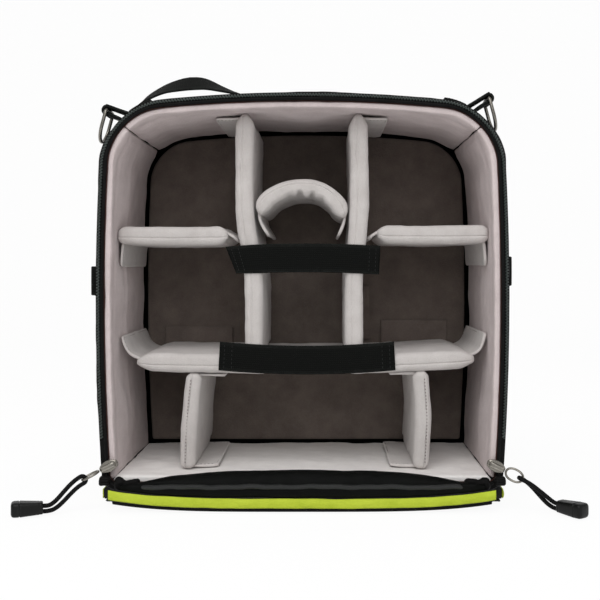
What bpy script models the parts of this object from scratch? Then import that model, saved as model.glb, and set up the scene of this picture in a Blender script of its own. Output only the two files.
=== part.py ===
"""Padded camera insert with removable dividers, a fold-back lid and two zip pulls.

It stands on its folded lid with its mouth towards -Y. The origin is under the middle of the body,
on the lid's resting face. Lengths are metres, +Z is up.
"""
import math

import bmesh
import bpy
import numpy as np
from mathutils import Matrix

# Driving dimensions of the body and the lid
body_width = 0.345
body_height = 0.332
body_depth = 0.172
lid_thickness = 0.014
side_bow = 0.006
top_bow = 0.012
upper_corner_radius = 0.048
lower_corner_radius = 0.0135
wall_thickness = 0.0063
wall_lining = 0.005
floor_lining = 0.005
casing_edge_radius = 0.008

# Clearances
fit_gap = 0.0003
lining_gap = 0.0005
fold_gap = 0.0005
run_gap = 0.0004
cut_overrun = 0.004

# Rim and zip
rim_width = 0.0066
rim_depth = 0.003
coil_radius = 0.0012
coil_inset = 0.0014
zip_start_height = 0.042

# Dividers
divider_thickness = 0.0158
shelf_thickness = 0.0165
small_divider_thickness = 0.0140
divider_setback = 0.028
divider_edge_radius = 0.0050
flap_thickness = 0.0030
flap_length = 0.024
near_flap_reach = 0.008
flap_setback = 0.007
rear_flap_height = 0.022
rear_flap_length = 0.053
crown_share = 0.16
top_flap_share = 0.75
shelf_flap_share = 0.8
lining_round_share = 0.3
lid_round_share = 0.2

# Webbing
webbing_width = 0.0247
webbing_thickness = 0.0018
handle_width = 0.026

# Metal and cord fittings
ring_wire = 0.0030
ring_bar = 0.0275
ring_drop = 0.0265
slider_length = 0.0150
slider_width = 0.0095
slider_thickness = 0.0068
slider_turn = math.radians(24)
pull_ring_length = 0.0165
pull_ring_width = 0.0115
pull_ring_wire = 0.0019
cord_diameter = 0.0036
grip_length = 0.0245
grip_width = 0.0135
grip_thickness = 0.0105

# Places worked out from the driving dimensions
half_depth = body_depth / 2
base_z = lid_thickness + fold_gap
flat_half_width = body_width / 2 - side_bow
flat_height = body_height - top_bow
middle_z = base_z + flat_height / 2
lining_outer = wall_thickness + lining_gap
lining_inner = lining_outer + wall_lining
rim_front = -half_depth
casing_front = rim_front + rim_depth + fit_gap
back_face = half_depth - wall_thickness - lining_gap - floor_lining
rear_fillet = casing_edge_radius - wall_thickness
divider_front = rim_front + divider_setback
divider_back = back_face - fit_gap
inner_half = body_width / 2 - lining_inner
floor_z = base_z + lining_inner
inner_height = body_height - 2 * lining_inner
hinge_y = rim_front - lid_thickness - fold_gap
hinge_z = lid_thickness + fold_gap / 2

paint = {
    "casing_fabric": ((0.012, 0.012, 0.013), 0.85, 0.0),
    "lining_fabric": ((0.60, 0.56, 0.55), 0.90, 0.0),
    "floor_fabric": ((0.055, 0.048, 0.043), 0.88, 0.0),
    "lime_fabric": ((0.62, 0.80, 0.05), 0.65, 0.0),
    "webbing": ((0.010, 0.011, 0.010), 0.80, 0.0),
    "zip_nylon": ((0.015, 0.015, 0.016), 0.45, 0.0),
    "nickel": ((0.62, 0.60, 0.55), 0.28, 1.0),
    "cord": ((0.012, 0.012, 0.012), 0.75, 0.0),
    "grip_plastic": ((0.020, 0.022, 0.021), 0.50, 0.0),
}


def clear_scene():
    for item in list(bpy.data.objects):
        bpy.data.objects.remove(item, do_unlink=True)


def make_collection(name):
    made = bpy.data.collections.new(name)
    bpy.context.scene.collection.children.link(made)
    return made


clear_scene()
parts = make_collection("camera_bag_insert")
cutters = make_collection("cutters")


def make_material(name, finish):
    colour, roughness, metallic = paint[finish]
    made = bpy.data.materials.new(name + "_" + finish)
    made.use_nodes = True
    shader = made.node_tree.nodes["Principled BSDF"]
    shader.inputs["Base Color"].default_value = (*colour, 1)
    shader.inputs["Roughness"].default_value = roughness
    shader.inputs["Metallic"].default_value = metallic
    return made


def pivot(name, place):
    """An empty on a joint's axis, which carries the pieces that move with it."""
    made = bpy.data.objects.new(name, None)
    parts.objects.link(made)
    made.location = place
    return made


def carry(piece, holder):
    piece.parent = holder
    piece.matrix_parent_inverse = Matrix.Translation(-holder.location)
    return piece


def add_piece(name, bm, finish, holder=None, home=None):
    mesh = bpy.data.meshes.new(name)
    bmesh.ops.recalc_face_normals(bm, faces=bm.faces)
    bm.to_mesh(mesh)
    bm.free()
    made = bpy.data.objects.new(name, mesh)
    (home or parts).objects.link(made)
    mesh.materials.append(make_material(name, finish))
    if holder:
        carry(made, holder)
    return made


def add_cutter(name, bm):
    made = add_piece(name, bm, "webbing", home=cutters)
    made.hide_render = True
    made.display_type = "WIRE"
    return made


def solidify(piece, thickness, offset):
    made = piece.modifiers.new("thickness", "SOLIDIFY")
    made.thickness = thickness
    made.offset = offset
    made.use_even_offset = True


def bevel(piece, width, segments=2, angle=50):
    made = piece.modifiers.new("rounding", "BEVEL")
    made.width = width
    made.segments = segments
    made.limit_method = "ANGLE"
    made.angle_limit = math.radians(angle)


def combine(piece, other, operation):
    made = piece.modifiers.new(operation.lower(), "BOOLEAN")
    made.operation = operation
    made.solver = "EXACT"
    made.object = other


def smooth(piece, angle=40):
    piece.data.shade_smooth()
    piece.data.set_sharp_from_angle(angle=math.radians(angle))


# Outline of the body: a rounded box whose sides and top bow outwards


def bowed(x, z):
    """Sides swell by side_bow at mid height, the top rises by top_bow at mid width."""
    x = np.asarray(x, float)
    z = np.asarray(z, float)
    rise = (z - middle_z) / (flat_height / 2)
    across = x / flat_half_width
    wide = x + side_bow * across * (1 - np.clip(rise, -1, 1) ** 2)
    tall = z + top_bow * (1 - np.clip(across, -1, 1) ** 2) * np.clip(rise, 0, None)
    return wide, tall


side_turns = {
    "left": ("top_left", "low_left", 135),
    "low": ("low_left", "low_right", 225),
    "right": ("low_right", "top_right", 315),
    "top": ("top_right", "top_left", 45),
}


def side_points(side, inset, corner_steps=4, side_steps=7, bottom=base_z):
    """One side of the outline, from mid corner to mid corner, moved inwards by inset."""
    top = base_z + flat_height
    centres = {
        "top_left": (-flat_half_width + upper_corner_radius, top - upper_corner_radius, upper_corner_radius),
        "top_right": (flat_half_width - upper_corner_radius, top - upper_corner_radius, upper_corner_radius),
        "low_left": (-flat_half_width + lower_corner_radius, bottom + lower_corner_radius, lower_corner_radius),
        "low_right": (flat_half_width - lower_corner_radius, bottom + lower_corner_radius, lower_corner_radius),
    }
    first, second, start = side_turns[side]
    rows = []
    for corner, turn in ((first, start), (second, start + 45)):
        x, z, radius = centres[corner]
        angles = np.radians(np.linspace(turn, turn + 45, corner_steps + 1))
        reach = radius - inset
        rows.append(np.column_stack((x + reach * np.cos(angles), z + reach * np.sin(angles))))
    middle = np.linspace(rows[0][-1], rows[1][0], side_steps + 1)[1:-1]
    flat = np.vstack((rows[0], middle, rows[1]))
    return np.column_stack(bowed(flat[:, 0], flat[:, 1]))


def loop_points(inset, corner_steps=4, side_steps=7):
    sides = [side_points(side, inset, corner_steps, side_steps)[:-1] for side in ("left", "low", "right", "top")]
    return np.vstack(sides)


def right_half(inset):
    """The outline's right half, from the lower corner up and over to the middle of the top."""
    top = side_points("top", inset, 12, 40)
    return np.vstack((side_points("right", inset, 12, 40), top[top[:, 0] > 0][1:]))


def wall_x(z, inset=lining_inner):
    """Half width of the space at a height."""
    rows = right_half(inset)
    return float(np.interp(z, rows[:, 1], rows[:, 0]))


def surface_z(x, inset=0):
    """Height of the upper surface at a place across the width."""
    rows = right_half(inset)
    rows = rows[rows[:, 1] > middle_z][::-1]
    return float(np.interp(abs(x), rows[:, 0], rows[:, 1]))


# Casing, rim and linings


def prism_mesh(points, front, back):
    """A flat outline in the XZ plane, carried from front to back."""
    bm = bmesh.new()
    bm.faces.new([bm.verts.new((x, back, z)) for x, z in points])
    result = bmesh.ops.extrude_face_region(bm, geom=bm.faces[:])
    lifted = [item for item in result["geom"] if isinstance(item, bmesh.types.BMVert)]
    bmesh.ops.translate(bm, verts=lifted, vec=(0, front - back, 0))
    return bm


def round_end(bm, axis, place, radius, segments):
    """Rounds the edges of the flat end that a prism has at a place on an axis."""
    edges = [edge for edge in bm.edges if all(abs(vert.co[axis] - place) < fit_gap / 2 for vert in edge.verts)]
    bmesh.ops.bevel(bm, geom=edges, offset=radius, segments=segments, profile=0.5, affect="EDGES")
    return bm


def make_casing():
    """A five-sided shell: the outer prism less an inner one, both with a rounded rear edge."""
    outer = prism_mesh(loop_points(0), casing_front, half_depth)
    round_end(outer, 1, half_depth, casing_edge_radius, 3)
    casing = add_piece("casing", outer, "casing_fabric")
    back = half_depth - wall_thickness
    inner = prism_mesh(loop_points(wall_thickness), casing_front - cut_overrun, back)
    combine(casing, add_cutter("casing_hollow", round_end(inner, 1, back, rear_fillet, 2)), "DIFFERENCE")
    smooth(casing)
    return casing


def make_rim():
    bm = bmesh.new()
    inner = loop_points(rim_width)
    outer = loop_points(2 * coil_radius + 2 * run_gap)
    rings = [[bm.verts.new((x, rim_front + rim_depth, z)) for x, z in row] for row in (outer, inner)]
    count = len(outer)
    for at in range(count):
        after = (at + 1) % count
        bm.faces.new((rings[0][at], rings[0][after], rings[1][after], rings[1][at]))
    bmesh.ops.recalc_face_normals(bm, faces=bm.faces)
    result = bmesh.ops.extrude_face_region(bm, geom=bm.faces[:])
    lifted = [item for item in result["geom"] if isinstance(item, bmesh.types.BMVert)]
    bmesh.ops.translate(bm, verts=lifted, vec=(0, -rim_depth, 0))
    rim = add_piece("rim_tape", bm, "casing_fabric")
    bevel(rim, rim_depth / 4, segments=1)
    return rim


def trim_ends(points, gap):
    """The row of points, shortened at both ends by gap."""
    length = np.concatenate(([0], np.cumsum(np.linalg.norm(np.diff(points, axis=0), axis=1))))
    spots = length.copy()
    spots[0] = gap
    spots[-1] = length[-1] - gap
    return np.column_stack([np.interp(spots, length, points[:, axis]) for axis in (0, 1)])


def clear_ends(points, reach):
    """The row of points without those that lie nearer to an end than reach."""
    length = np.concatenate(([0], np.cumsum(np.linalg.norm(np.diff(points, axis=0), axis=1))))
    kept = (length > reach) & (length < length[-1] - reach)
    return np.vstack((points[:1], points[kept], points[-1:]))


def lining_panel(name, side):
    """One padded wall lining, mitred to its neighbours at the corners."""
    rounding = wall_lining * lining_round_share
    outer, inner = (
        clear_ends(trim_ends(side_points(side, inset, 3, 6), lining_gap), 2 * rounding)
        for inset in (lining_outer, lining_inner)
    )
    section = np.vstack((outer, inner[::-1]))
    front = casing_front + fit_gap
    bm = round_end(prism_mesh(section, front, back_face - fit_gap), 1, front, rounding, 2)
    panel = add_piece(name, bm, "lining_fabric")
    smooth(panel)
    return panel


def make_floor():
    """The lining on the back wall, which the dividers end against."""
    rear = back_face + floor_lining
    bm = prism_mesh(loop_points(lining_outer, 3, 6), back_face, rear)
    floor = add_piece("back_lining", round_end(bm, 1, rear, rear_fillet, 2), "floor_fabric")
    smooth(floor)
    return floor


def tube_piece(name, points, radius, finish, holder=None, closed=False, sides=2):
    """A round tube along a row of points, made a mesh with its caps welded."""
    curve = bpy.data.curves.new(name + "_line", "CURVE")
    curve.dimensions = "3D"
    curve.bevel_depth = radius
    curve.bevel_resolution = sides
    curve.use_fill_caps = not closed
    line = curve.splines.new("POLY")
    line.points.add(len(points) - 1)
    for point, place in zip(line.points, points):
        point.co = (*place, 1)
    line.use_cyclic_u = closed
    guide = bpy.data.objects.new(name + "_guide", curve)
    cutters.objects.link(guide)
    bpy.context.view_layer.update()
    shape = guide.evaluated_get(bpy.context.evaluated_depsgraph_get())
    mesh = bpy.data.meshes.new_from_object(shape)
    bm = bmesh.new()
    bm.from_mesh(mesh)
    bmesh.ops.remove_doubles(bm, verts=bm.verts, dist=radius / 200)
    bpy.data.objects.remove(guide, do_unlink=True)
    bpy.data.meshes.remove(mesh)
    tube = add_piece(name, bm, finish, holder)
    smooth(tube, angle=60)
    return tube


def zip_path(inset):
    """Left side, top and right side of the outline, above the height where the zip starts."""
    rows = np.vstack(
        (
            side_points("right", inset, 5, 8),
            side_points("top", inset, 5, 8)[1:],
            side_points("left", inset, 5, 8)[1:],
        )
    )
    start = base_z + zip_start_height
    kept = rows[rows[:, 1] > start]
    foot = float(np.interp(start, side_points("right", inset)[:, 1], side_points("right", inset)[:, 0]))
    return np.vstack(([foot, start], kept, [-foot, start]))


def make_body_coil():
    path = [(x, rim_front + coil_radius + run_gap, z) for x, z in zip_path(coil_inset)]
    return tube_piece("zip_coil_body", path, coil_radius, "zip_nylon", sides=1)


# Padded dividers


def smooth_line(points, count):
    """A smooth curve through a few points, sampled evenly along its length."""
    points = np.asarray(points, float)
    padded = np.vstack((2 * points[0] - points[1], points, 2 * points[-1] - points[-2]))
    rows = []
    for at in range(1, len(padded) - 2):
        before, start, end, after = padded[at - 1:at + 3]
        t = np.linspace(0, 1, 17)[:-1, None]
        rows.append(
            0.5 * (2 * start + (end - before) * t + (2 * before - 5 * start + 4 * end - after) * t ** 2
                   + (3 * start - before - 3 * end + after) * t ** 3)
        )
    fine = np.vstack(rows + [points[-1:]])
    length = np.concatenate(([0], np.cumsum(np.linalg.norm(np.diff(fine, axis=0), axis=1))))
    spots = np.linspace(0, length[-1], count)
    return np.column_stack([np.interp(spots, length, fine[:, axis]) for axis in range(points.shape[1])])


def pad_mesh(line, thickness, front, back, crown=crown_share, along=6, deep=3):
    """A block bent along a line in the XZ plane, thinner towards its ends and its edges."""
    bm = bmesh.new()
    bmesh.ops.create_cube(bm, size=1)
    for axis, cuts in ((0, along), (1, deep)):
        for step in range(1, cuts):
            place = [0, 0, 0]
            normal = [0, 0, 0]
            place[axis] = step / cuts - 0.5
            normal[axis] = 1
            bmesh.ops.bisect_plane(bm, geom=bm.verts[:] + bm.edges[:] + bm.faces[:], plane_co=place, plane_no=normal)
    curve = smooth_line(line, 4 * along + 1)
    slope = np.gradient(curve, axis=0)
    normals = np.column_stack((-slope[:, 1], slope[:, 0]))
    normals /= np.linalg.norm(normals, axis=1)[:, None]
    share = np.linspace(0, 1, len(curve))
    for vert in bm.verts:
        u = vert.co.x + 0.5
        w = vert.co.y + 0.5
        edge = max(abs(2 * u - 1) ** 4, abs(2 * w - 1) ** 4)
        reach = thickness * vert.co.z * (1 - crown * edge)
        x, z = (float(np.interp(u, share, curve[:, axis])) for axis in (0, 1))
        nx, nz = (float(np.interp(u, share, normals[:, axis])) for axis in (0, 1))
        vert.co = (x + nx * reach, front + (back - front) * w, z + nz * reach)
    return bm


def make_divider(name, line, thickness, flaps, holder, along=6, rear_flaps=()):
    """A pad with thin hook tabs: each flap is a line in the XZ plane, each rear flap a box."""
    bm = pad_mesh(line, thickness, divider_front, divider_back, along=along)
    pad = add_piece(name, bm, "lining_fabric", holder)
    bevel(pad, divider_edge_radius, segments=3)
    for count, flap in enumerate(flaps):
        tab = pad_mesh(flap, flap_thickness, divider_front + flap_setback, divider_back - flap_setback,
                       crown=0, along=3, deep=1)
        combine(pad, add_cutter(f"{name}_tab_{count}", tab), "UNION")
    for count, (low, high) in enumerate(rear_flaps):
        tab = box_mesh(low, high)
        combine(pad, add_cutter(f"{name}_rear_tab_{count}", tab), "UNION")
    smooth(pad)
    return pad


def box_mesh(low, high):
    low = np.asarray(low, float)
    high = np.asarray(high, float)
    bm = bmesh.new()
    bmesh.ops.create_cube(bm, size=1)
    bmesh.ops.scale(bm, vec=high - low, verts=bm.verts)
    bmesh.ops.translate(bm, vec=(low + high) / 2, verts=bm.verts)
    return bm


def inside(share_x, share_z):
    """A place in the compartment from its shares of the inner half width and inner height."""
    return inner_half * share_x, floor_z + inner_height * share_z


# Lines of the dividers, as shares of the inner half width and the inner height
left_upright_shares = ((-0.313, 0.95), (-0.315, 0.73), (-0.288, 0.62), (-0.266, 0.53), (-0.263, 0.36))
right_upright_shares = ((0.294, 0.95), (0.302, 0.77), (0.288, 0.63), (0.272, 0.53), (0.271, 0.36))
long_shelf_shares = ((-0.896, 0.300), (-0.45, 0.296), (0.0, 0.293), (0.45, 0.297), (0.915, 0.309))
arch_shares = (
    (-0.234, 0.712), (-0.197, 0.751), (-0.107, 0.779), (-0.009, 0.788),
    (0.088, 0.780), (0.173, 0.748), (0.220, 0.705),
)
arch_left_tab_shares = ((-0.240, 0.722), (-0.229, 0.690), (-0.185, 0.650))
arch_right_tab_shares = ((0.226, 0.712), (0.215, 0.685), (0.187, 0.650))
left_shelf_height_share = 0.6525
right_shelf_height_share = 0.657
near_flap_rise_share = 0.22
near_flap_seat_share = 0.70
lower_left_shares = ((-0.584, 0.25), (-0.608, 0.14), (-0.620, 0.03))
lower_right_shares = ((0.626, 0.25), (0.641, 0.14), (0.628, 0.03))
shelf_tab_slope_share = 0.9


def line_at(shares, height):
    """Place across the width of an upright at a height."""
    rows = smooth_line(upright_line(shares), 65)[::-1]
    return float(np.interp(height, rows[:, 1], rows[:, 0]))


def shelf_at(x):
    rows = np.array([inside(*pair) for pair in long_shelf_shares])
    return float(np.interp(x, rows[:, 0], rows[:, 1]))


def upright_line(shares):
    """An upright that stands on the long shelf and reaches the upper lining."""
    rows = [inside(*pair) for pair in shares]
    top_x = rows[0][0]
    low_x = rows[-1][0]
    first = (top_x, surface_z(top_x, lining_inner) - 2 * fit_gap)
    last = (low_x, shelf_at(low_x) + shelf_thickness / 2 + fit_gap)
    return [first, *rows[1:-1], last]


def top_tab(line, sign):
    """A tab that leaves the head of an upright and lies along the upper lining."""
    x, z = line[0]
    reach = x + sign * (divider_thickness / 2 + flap_length * top_flap_share)
    start = z - flap_thickness
    return [(x, start), ((x + reach) / 2, start - flap_thickness / 4),
            (reach, surface_z(reach, lining_inner) - flap_thickness)]


def make_cradle(holder):
    left = upright_line(left_upright_shares)
    right = upright_line(right_upright_shares)
    make_divider("left_upright_divider", left, divider_thickness, [top_tab(left, -1)], holder, along=8)
    flap_x = right[-1][0] + divider_thickness / 2
    behind = divider_back - flap_thickness
    flap_low = right[-1][1] + flap_thickness
    rear = [((right[-1][0], behind, flap_low), (flap_x + rear_flap_height / 2, divider_back, flap_low + rear_flap_length))]
    make_divider("right_upright_divider", right, divider_thickness, [top_tab(right, 1)], holder, along=8,
                 rear_flaps=rear)
    make_long_shelf(left, right, holder)


def make_long_shelf(left, right, holder):
    line = [inside(*pair) for pair in long_shelf_shares]
    tabs = []
    for end, sign in ((line[0], -1), (line[-1], 1)):
        x, z = end
        rise = flap_length * shelf_tab_slope_share
        wall = wall_x(z + rise) - fit_gap - flap_thickness * 0.7
        tabs.append([(x - sign * flap_thickness, z), ((x + sign * wall) / 2, z + rise * 0.35), (sign * wall, z + rise)])
    rear = []
    for sign, near in ((-1, left[-1][0]), (1, right[-1][0])):
        start = near + sign * (divider_thickness / 2 + rear_flap_height)
        stop = sign * (inner_half - rear_flap_height)
        low = min(start, stop)
        high = max(start, stop)
        foot = shelf_at((low + high) / 2)
        rear.append(((low, divider_back - flap_thickness, foot),
                     (high, divider_back, foot + shelf_thickness / 2 + rear_flap_height)))
    make_divider("long_shelf_divider", line, shelf_thickness, tabs, holder, along=10, rear_flaps=rear)


def make_side_shelf(name, sign, shares, height_share, holder):
    """A short shelf between an upright and a side lining, held by a tab at each end."""
    height = floor_z + inner_height * height_share
    low = height - divider_thickness / 2 + flap_thickness
    face = line_at(shares, low) + sign * (divider_thickness / 2 + flap_thickness * near_flap_seat_share)
    near = face + sign * near_flap_reach
    far = sign * (wall_x(height) - fit_gap)
    line = [(near, height), ((near + far) / 2, height), (far, height)]
    high = height + divider_thickness * near_flap_rise_share
    near_flap = [(near + sign * flap_thickness, high), ((near + face) / 2, (high + low) / 2), (face, low)]
    x = far - sign * (flap_thickness + fit_gap)
    foot = height - divider_thickness / 2 - flap_length * shelf_flap_share
    wall = sign * (wall_x(foot) - 2 * flap_thickness / 3 - 2 * fit_gap)
    far_flap = [(x - sign * flap_thickness, height), (x, height - divider_thickness / 2), (wall, foot)]
    tabs = [near_flap, far_flap]
    return make_divider(name, line, divider_thickness, tabs, holder)


def make_lower_divider(name, sign, shares, holder):
    """A short upright between the long shelf and the lower lining, tabs towards the middle."""
    rows = [inside(*pair) for pair in shares]
    head = shelf_at(rows[0][0]) - shelf_thickness / 2 - fit_gap
    foot = floor_z + fit_gap
    line = [(rows[0][0], head), rows[1], (rows[-1][0], foot)]
    tabs = []
    for x, z, turn in ((rows[0][0], head, -1), (rows[-1][0], foot, 1)):
        level = z + turn * flap_thickness * 0.7
        end = x - sign * (small_divider_thickness / 2 + flap_length * shelf_flap_share)
        tabs.append([(x, level), ((x + end) / 2, level), (end, level + turn * flap_thickness / 4)])
    return make_divider(name, line, small_divider_thickness, tabs, holder, along=5)


def make_arch(holder):
    line = [inside(*pair) for pair in arch_shares]
    tabs = [[inside(*pair) for pair in tab] for tab in (arch_left_tab_shares, arch_right_tab_shares)]
    return make_divider("arch_divider", line, small_divider_thickness, tabs, holder, along=10)


# Webbing


def strap_piece(name, line, across, width, finish, holder=None):
    """A flat strap: line is its middle, across the direction of its width at each point."""
    bm = bmesh.new()
    line = np.asarray(line, float)
    across = np.asarray(across, float)
    across = across / np.linalg.norm(across, axis=1)[:, None]
    rows = [[bm.verts.new(place) for place in line + across * width * side] for side in (-0.5, 0.5)]
    for at in range(len(line) - 1):
        bm.faces.new((rows[0][at], rows[0][at + 1], rows[1][at + 1], rows[1][at]))
    strap = add_piece(name, bm, finish, holder)
    solidify(strap, webbing_thickness, 0)
    smooth(strap)
    return strap


handle_line_shares = ((-0.86, 0.0), (-0.80, 0.06), (-0.68, 0.62), (-0.57, 1.0), (-0.44, 0.70), (-0.33, 0.16), (-0.22, 0.0))
handle_rise = 0.0215
handle_lean = math.radians(24)
handle_y_share = -0.44


def make_handle():
    """A webbing arch over the upper face, leaning back most at its crest."""
    half = body_width / 2
    rows = []
    for share_x, lift in handle_line_shares:
        x = half * share_x
        rows.append((x, surface_z(x) + webbing_thickness / 2 + fit_gap + handle_rise * lift, lift))
    line = smooth_line(rows, 19)
    floor = np.array([surface_z(x) for x in line[:, 0]]) + webbing_thickness / 2 + fit_gap
    height = np.maximum(line[:, 1], floor)
    lean = handle_lean * np.clip(line[:, 2], 0, 1)
    middle = np.column_stack((line[:, 0], np.full(len(line), half_depth * handle_y_share), height))
    across = np.column_stack((np.zeros(len(line)), np.cos(lean), np.sin(lean)))
    middle[:, 2] += handle_width / 2 * np.sin(lean) * (1 - lean / handle_lean)
    return strap_piece("carry_handle", middle, across, handle_width, "webbing")


retaining_strap_bulge = 0.002


def make_retaining_strap(name, left, right, height, sag, slant_shares, holder):
    """A strap across the uprights' front edges, its ends cut on a slant."""
    count = 9
    x = np.linspace(left, right, count)
    share = np.linspace(-1, 1, count)
    y = divider_front - fit_gap - webbing_thickness / 2 - retaining_strap_bulge * np.clip(0.36 - share ** 2, 0, None)
    z = height - sag * (1 - share ** 2)
    line = np.column_stack((x, y, z))
    lean = np.where(share < 0, slant_shares[0], slant_shares[1]) * np.clip(2 * abs(share) - 1, 0, 1)
    across = np.column_stack((lean, np.zeros(count), np.ones(count)))
    return strap_piece(name, line, across, webbing_width, "webbing", holder)


side_loop_stand_shares = {"left": 1.0, "right": 0.62}
side_loop_height_shares = {"left": 0.525, "right": 0.550}
side_loop_stand = 0.0066
side_loop_length = 0.030
side_loop_foot = 0.009
side_loop_start = 0.0045


def make_side_loop(side, sign):
    """A short webbing loop on a side wall, open above and below."""
    height = base_z + body_height * side_loop_height_shares[side]
    wall = wall_x(height, 0) + webbing_thickness / 2 + fit_gap
    stand = side_loop_stand * side_loop_stand_shares[side]
    start = casing_front + side_loop_start
    middle = start + side_loop_foot + side_loop_length / 2
    end = start + 2 * side_loop_foot + side_loop_length
    rows = (
        (wall, start), (wall, start + side_loop_foot), (wall + stand, start + 1.5 * side_loop_foot),
        (wall + stand, middle), (wall + stand, end - 1.5 * side_loop_foot), (wall, end - side_loop_foot), (wall, end),
    )
    line = [(sign * x, y, height) for x, y in rows]
    across = np.tile((0.0, 0.0, 1.0), (len(line), 1))
    return strap_piece(f"{side}_side_loop", line, across, webbing_width, "webbing")


# Rings at the upper corners, with the webbing tabs that hold them
ring_bar_shares = {"left": (-0.953, 0.958), "right": (0.905, 0.988)}
ring_lean = {"left": math.radians(15), "right": math.radians(15)}
ring_y_share = -0.76
tab_wrap_steps = 9


def ring_centre(side):
    share_x, share_z = ring_bar_shares[side]
    return body_width / 2 * share_x, half_depth * ring_y_share, base_z + body_height * share_z


def make_ring(side, sign):
    x, y, z = ring_centre(side)
    holder = pivot(f"{side}_ring_axis", (x, y, z))
    half = ring_bar / 2
    bend = half * 0.9
    angles = np.radians(np.linspace(0, 180, 11))
    arc = np.column_stack((half * np.cos(angles), (ring_drop - bend) + bend * np.sin(angles)))
    bar = np.array([(-half, 0.0), (0.0, 0.0), (half, 0.0)])
    flat = np.vstack((bar, arc))
    lean = ring_lean[side]
    points = [(x + sign * d * math.sin(lean), y + a, z - d * math.cos(lean)) for a, d in flat]
    tube_piece(f"{side}_d_ring", points, ring_wire / 2, "nickel", holder, closed=True)
    return holder


def make_ring_tab(side, sign):
    """Webbing sewn to the upper face that wraps the bar of the ring and ends against itself."""
    x, y, z = ring_centre(side)
    reach = ring_wire / 2 + run_gap + webbing_thickness / 2
    foot_x = x - sign * webbing_width * 1.5
    near_x = x - sign * webbing_width * 0.72
    stand = webbing_thickness / 2 + fit_gap
    rows = [(px, surface_z(px) + stand) for px in np.linspace(foot_x, near_x, 9)]
    for angle in np.radians(np.linspace(100, -150, tab_wrap_steps)):
        rows.append((x + sign * reach * math.cos(angle), z + reach * math.sin(angle)))
    line = [(px, y, pz) for px, pz in rows]
    across = np.tile((0.0, 1.0, 0.0), (len(line), 1))
    width = ring_bar - ring_wire - 4 * run_gap
    return strap_piece(f"{side}_ring_tab", line, across, width, "webbing")


# Lid: it lies folded back under the body and turns about an axis across its front edge
lid_tongue_inset = 0.0145
lid_notch_inset = 0.0225
lid_tongue_half = body_width / 2 - lid_tongue_inset
lid_notch_half = body_width / 2 - lid_notch_inset
lid_tongue_depth = 0.004
lid_notch_depth = 0.034
lid_wall = 0.003
lid_panel = 0.0032
lid_lining_thickness = 0.0105
lid_corner_lift = 0.0055
lid_lift_depth = 0.009
lime_width = 0.0078
lime_thickness = 0.0009
lime_low = 0.0040
fold_radius = 0.0136
fold_taper_share = 0.32
lid_cut_depth_shares = (0.3, 0.6, 1.0)
lid_cut_shares = (-0.92, -0.82, -0.7, -0.5, 0, 0.5, 0.7, 0.82, 0.92)


def lid_sides(inset, corner_steps=4, side_steps=7):
    """Right side, far edge and left side of the lid in its closed place, as (x, height)."""
    rows = np.vstack(
        (
            side_points("right", inset, corner_steps, side_steps),
            side_points("top", inset, corner_steps, side_steps)[1:],
            side_points("left", inset, corner_steps, side_steps)[1:],
        )
    )
    start = hinge_z + lid_notch_depth + inset
    kept = rows[rows[:, 1] > start + fit_gap]
    wide = wall_x(start, inset)
    return np.vstack(([wide, start], kept, [-wide, start]))


def lid_outline(inset):
    """Closed outline of the lid, with a notch beside each zip slider."""
    low = hinge_z + inset
    notch = lid_notch_half - inset
    top = hinge_z + lid_notch_depth + inset
    rows = [(notch, top)]
    if inset < lid_tongue_depth / 2:
        tongue = hinge_z + lid_tongue_depth
        rows = [(lid_tongue_half, low), (lid_tongue_half, tongue), (notch, tongue), (notch, top)]
        ends = [(-x, z) for x, z in rows[::-1]]
    else:
        rows = [(notch, low), (notch, top)]
        ends = [(-x, z) for x, z in rows[::-1]]
    return rows + [tuple(pair) for pair in lid_sides(inset)] + ends


def corner_lift(x, away):
    """How far the lid's front corners turn up, at a distance behind the hinge axis."""
    near = min(max(1 - away / lid_lift_depth, 0), 1)
    return lid_corner_lift * np.clip(abs(x) / lid_tongue_half, 0, 1) ** 4 * near ** 2


def fold_down(x, height, level):
    """From the closed lid's plane to its folded place under the body, at a level above the floor."""
    away = height - hinge_z
    return x, hinge_y + away, level + corner_lift(x, max(away, 0)) * np.clip(level / lid_thickness, 0, 1)


def slab_mesh(points, low, high, lifted=False):
    """The lid's outline, carried up from one level to another, with its front corners turned up."""
    bm = bmesh.new()
    bm.faces.new([bm.verts.new((x, hinge_y + height - hinge_z, low)) for x, height in points])
    result = bmesh.ops.extrude_face_region(bm, geom=bm.faces[:])
    upper = [item for item in result["geom"] if isinstance(item, bmesh.types.BMVert)]
    bmesh.ops.translate(bm, verts=upper, vec=(0, 0, high - low))
    if not lifted:
        return bm
    cuts = [((0, hinge_y + lid_lift_depth * share, 0), (0, 1, 0)) for share in lid_cut_depth_shares]
    cuts += [((lid_tongue_half * share, 0, 0), (1, 0, 0)) for share in lid_cut_shares]
    for place, normal in cuts:
        bmesh.ops.bisect_plane(bm, geom=bm.verts[:] + bm.edges[:] + bm.faces[:], plane_co=place, plane_no=normal)
    for vert in bm.verts:
        lift = corner_lift(vert.co.x, vert.co.y - hinge_y)
        vert.co.z += lift * min(max(vert.co.z / lid_thickness, 0), 1)
    bmesh.ops.triangulate(bm, faces=[face for face in bm.faces if len(face.verts) > 4])
    return bm


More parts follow.
